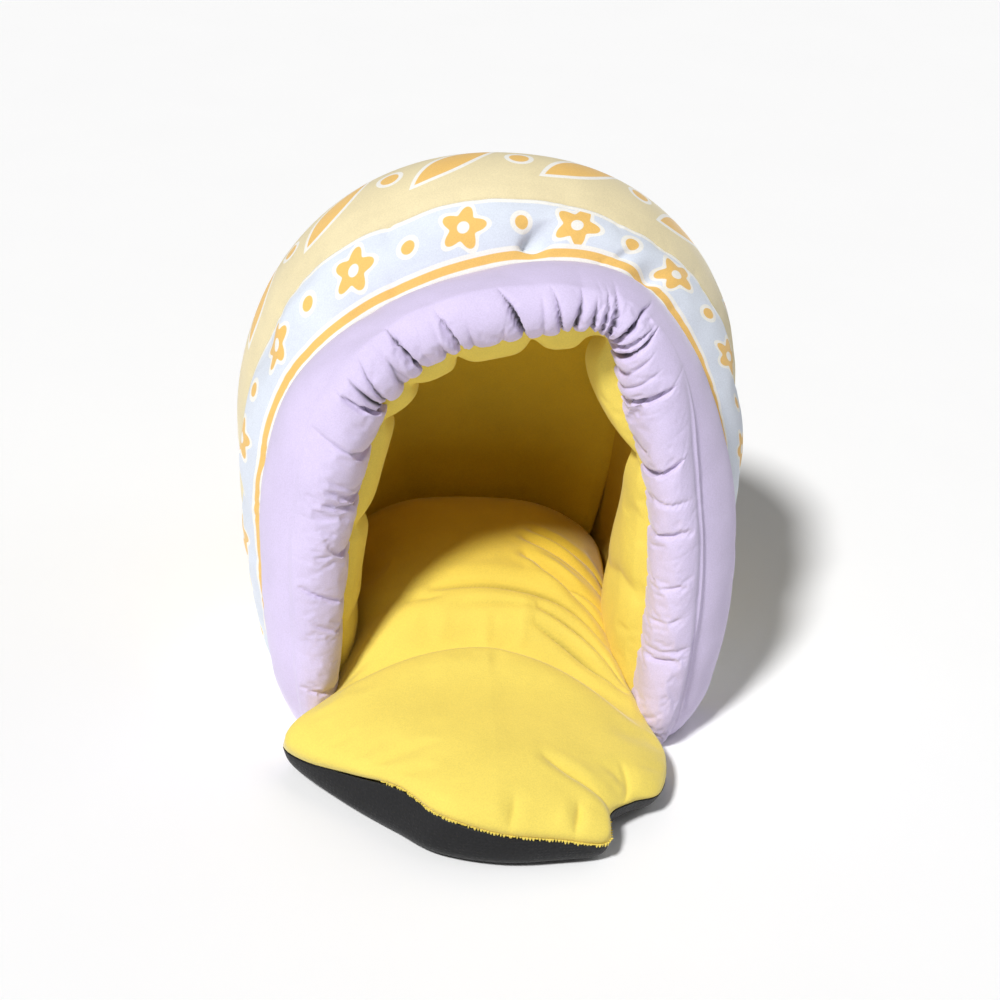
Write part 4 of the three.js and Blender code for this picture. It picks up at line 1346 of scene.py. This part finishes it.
def base_cloth():
    """The black non-slip cloth under the bed."""
    points, faces, middle = base_panel()
    turns, columns = points.shape[:2]
    first = np.arange(turns) * columns
    following = np.roll(first, -1)
    last = columns - 1
    low_hub, high_hub = (np.full(turns, turns * columns + i) for i in range(2))
    low = np.stack([low_hub, low_hub, following, first], -1)
    high = np.stack([high_hub, high_hub, first + last, following + last], -1)
    flat = np.concatenate([points.reshape(-1, 3), middle])
    made = piece("base_cloth", flat, np.concatenate([faces, low, high]), nonslip())
    dress(made, "nonslip_cloth", "base_panel")


def seam_line():
    """The seam between the mat and the base along the tongue's front, just outside the black cloth."""
    turn = np.linspace(*STITCHED, STITCH_STEPS)
    ray = mat_ray(turn)
    long = np.linalg.norm(ray, axis=-1)
    plan = MAT_CENTRE + ray * ((long + STITCH_OUT) / long)[:, None]
    return np.concatenate([plan, mat_edge("seam", turn)[:, None] + STITCH_UP], -1)


def edge_stitches():
    """Short overlock teeth along the tongue's seam, as many as its length takes."""
    points = seam_line() * MM
    mesh = bpy.data.meshes.new("edge_stitches")
    mesh.from_pydata(points.tolist(), [(i, i + 1) for i in range(len(points) - 1)], [])
    made = bpy.data.objects.new("edge_stitches", mesh)
    bpy.context.scene.collection.objects.link(made)
    finish = plush(Finish("stitch_thread"), YELLOW, pile=0.1, sheen=0.1)
    modifier = made.modifiers.new("teeth", "NODES")
    modifier.node_group = teeth_nodes(finish)
    for item in modifier.node_group.interface.items_tree:
        if item.in_out == "INPUT" and item.name in STITCHES:
            modifier[item.identifier] = STITCHES[item.name]
    shaped = made.evaluated_get(bpy.context.evaluated_depsgraph_get())
    made.data = bpy.data.meshes.new_from_object(shaped)
    made.modifiers.clear()
    bpy.data.meshes.remove(mesh)
    dress(made, "yellow_mat")


def teeth_nodes(finish):
    """Overlock: a tooth of random size at each step along the seam."""
    tree = bpy.data.node_groups.new("teeth", "GeometryNodeTree")
    for name, kind in (("Geometry", "Geometry"), ("Pitch", "Float"), ("Seed", "Int")):
        tree.interface.new_socket(name, in_out="INPUT", socket_type="NodeSocket" + kind)
    tree.interface.new_socket("Geometry", in_out="OUTPUT", socket_type="NodeSocketGeometry")

    def node(kind, **values):
        made = tree.nodes.new(kind)
        for key, value in values.items():
            made.inputs[key.replace("_", " ")].default_value = value
        return made

    given = node("NodeGroupInput")
    curve = node("GeometryNodeMeshToCurve")
    spaced = node("GeometryNodeResampleCurve")
    spaced.mode = "LENGTH"
    tooth = node("GeometryNodeMeshCone", **TOOTH)
    size = node("FunctionNodeRandomValue")
    size.data_type = "FLOAT_VECTOR"
    for key, value in zip(("Min", "Max"), TOOTH_SIZES):
        size.inputs[key].default_value = value
    lowered = node("GeometryNodeTransform", Translation=(0, 0, -TOOTH_DROP))
    placed = node("GeometryNodeInstanceOnPoints")
    real = node("GeometryNodeRealizeInstances")
    coloured = node("GeometryNodeSetMaterial", Material=finish)
    chain = (given, curve, spaced, placed, real, coloured, node("NodeGroupOutput"))
    for start, end in zip(chain, chain[1:]):
        tree.links.new(start.outputs[0], end.inputs[0])
    for start, output, end, key in (
        (given, "Pitch", spaced, "Length"),
        (given, "Seed", size, "Seed"),
        (tooth, "Mesh", lowered, "Geometry"),
        (lowered, "Geometry", placed, "Instance"),
        (size, "Value", placed, "Scale"),
    ):
        tree.links.new(start.outputs[output], end.inputs[key])
    return tree


# Stage
CAMERA_AZIMUTH, CAMERA_HEIGHT, CAMERA_ROLL = -7.0, 31.0, 6.0
CAMERA_TARGET = Vector((0, -0.06, 0.2))
CAMERA_DISTANCE = 1.9
CAMERA_LENS = 72.36
CAMERA_SHIFT = (0.008, 0.006)
KEY_LIGHT = ((-0.41, -0.48, 0.775), 3.2, 8.0)
FILL_LIGHT = ((0.75, 0.15, 0.65), 0.5, 60.0)
WORLD_LIGHT = 0.11
FLOOR_LEVEL, FLOOR_FAR, FLOOR_RISE, FLOOR_DROP = 40.0, 400.0, 12.0, 0.0005
FLOOR_WHITES = ((0.96, 0.96, 0.96), (0.98, 0.98, 0.98))


def camera():
    azimuth, height, roll = (math.radians(x) for x in (CAMERA_AZIMUTH, CAMERA_HEIGHT, CAMERA_ROLL))
    level = math.cos(height)
    back = Vector((math.sin(azimuth) * level, -math.cos(azimuth) * level, math.sin(height)))
    right = Vector((math.cos(azimuth), math.sin(azimuth), 0))
    up = back.cross(right)
    turned_right = right * math.cos(roll) + up * math.sin(roll)
    turned_up = up * math.cos(roll) - right * math.sin(roll)
    data = bpy.data.cameras.new("camera")
    data.lens = CAMERA_LENS
    data.shift_x, data.shift_y = CAMERA_SHIFT
    made = bpy.data.objects.new("camera", data)
    axes = Matrix((turned_right, turned_up, back)).transposed().to_4x4()
    made.matrix_world = Matrix.Translation(CAMERA_TARGET + back * CAMERA_DISTANCE) @ axes
    bpy.context.scene.collection.objects.link(made)
    bpy.context.scene.camera = made


def far_light(name, towards, strength, spread):
    """A far soft light, so that the floor is evenly lit."""
    data = bpy.data.lights.new(name, "SUN")
    data.energy = strength
    data.angle = math.radians(spread)
    made = bpy.data.objects.new(name, data)
    made.rotation_euler = (-Vector(towards)).to_track_quat("-Z", "Y").to_euler()
    bpy.context.scene.collection.objects.link(made)


def lay_floor():
    """A wide level floor whose far border rises a little, so that it ends above the horizon."""
    corners = ((-1, -1), (1, -1), (1, 1), (-1, 1))
    points = [(x * FLOOR_LEVEL, y * FLOOR_LEVEL, 0) for x, y in corners]
    points += [(x * FLOOR_FAR, y * FLOOR_FAR, FLOOR_RISE) for x, y in corners]
    border = [(k, k + 4, (k + 1) % 4 + 4, (k + 1) % 4) for k in range(4)]
    mesh = bpy.data.meshes.new("floor")
    mesh.from_pydata(points, [], [(0, 1, 2, 3), *border])
    paint = Finish("floor_paint")
    paint.give(paint.shader, Base_Color=paint.blend(paint.noise(6.0), *FLOOR_WHITES), Roughness=0.9)
    mesh.materials.append(paint.material)
    floor = bpy.data.objects.new("floor", mesh)
    floor.location.z = -FLOOR_DROP
    bpy.context.scene.collection.objects.link(floor)


def studio():
    world = bpy.data.worlds.new("studio")
    world.use_nodes = True
    background = world.node_tree.nodes["Background"]
    background.inputs["Color"].default_value = (1, 1, 1, 1)
    background.inputs["Strength"].default_value = WORLD_LIGHT
    bpy.context.scene.world = world
    far_light("key", *KEY_LIGHT)
    far_light("fill", *FILL_LIGHT)
    lay_floor()
    bpy.context.scene.view_settings.view_transform = "Standard"


camera()
studio()
front_rim()
shell_band()
shell_crown()
back_panel()
lining_arch()
lining_back()
mat()
base_cloth()
edge_stitches()
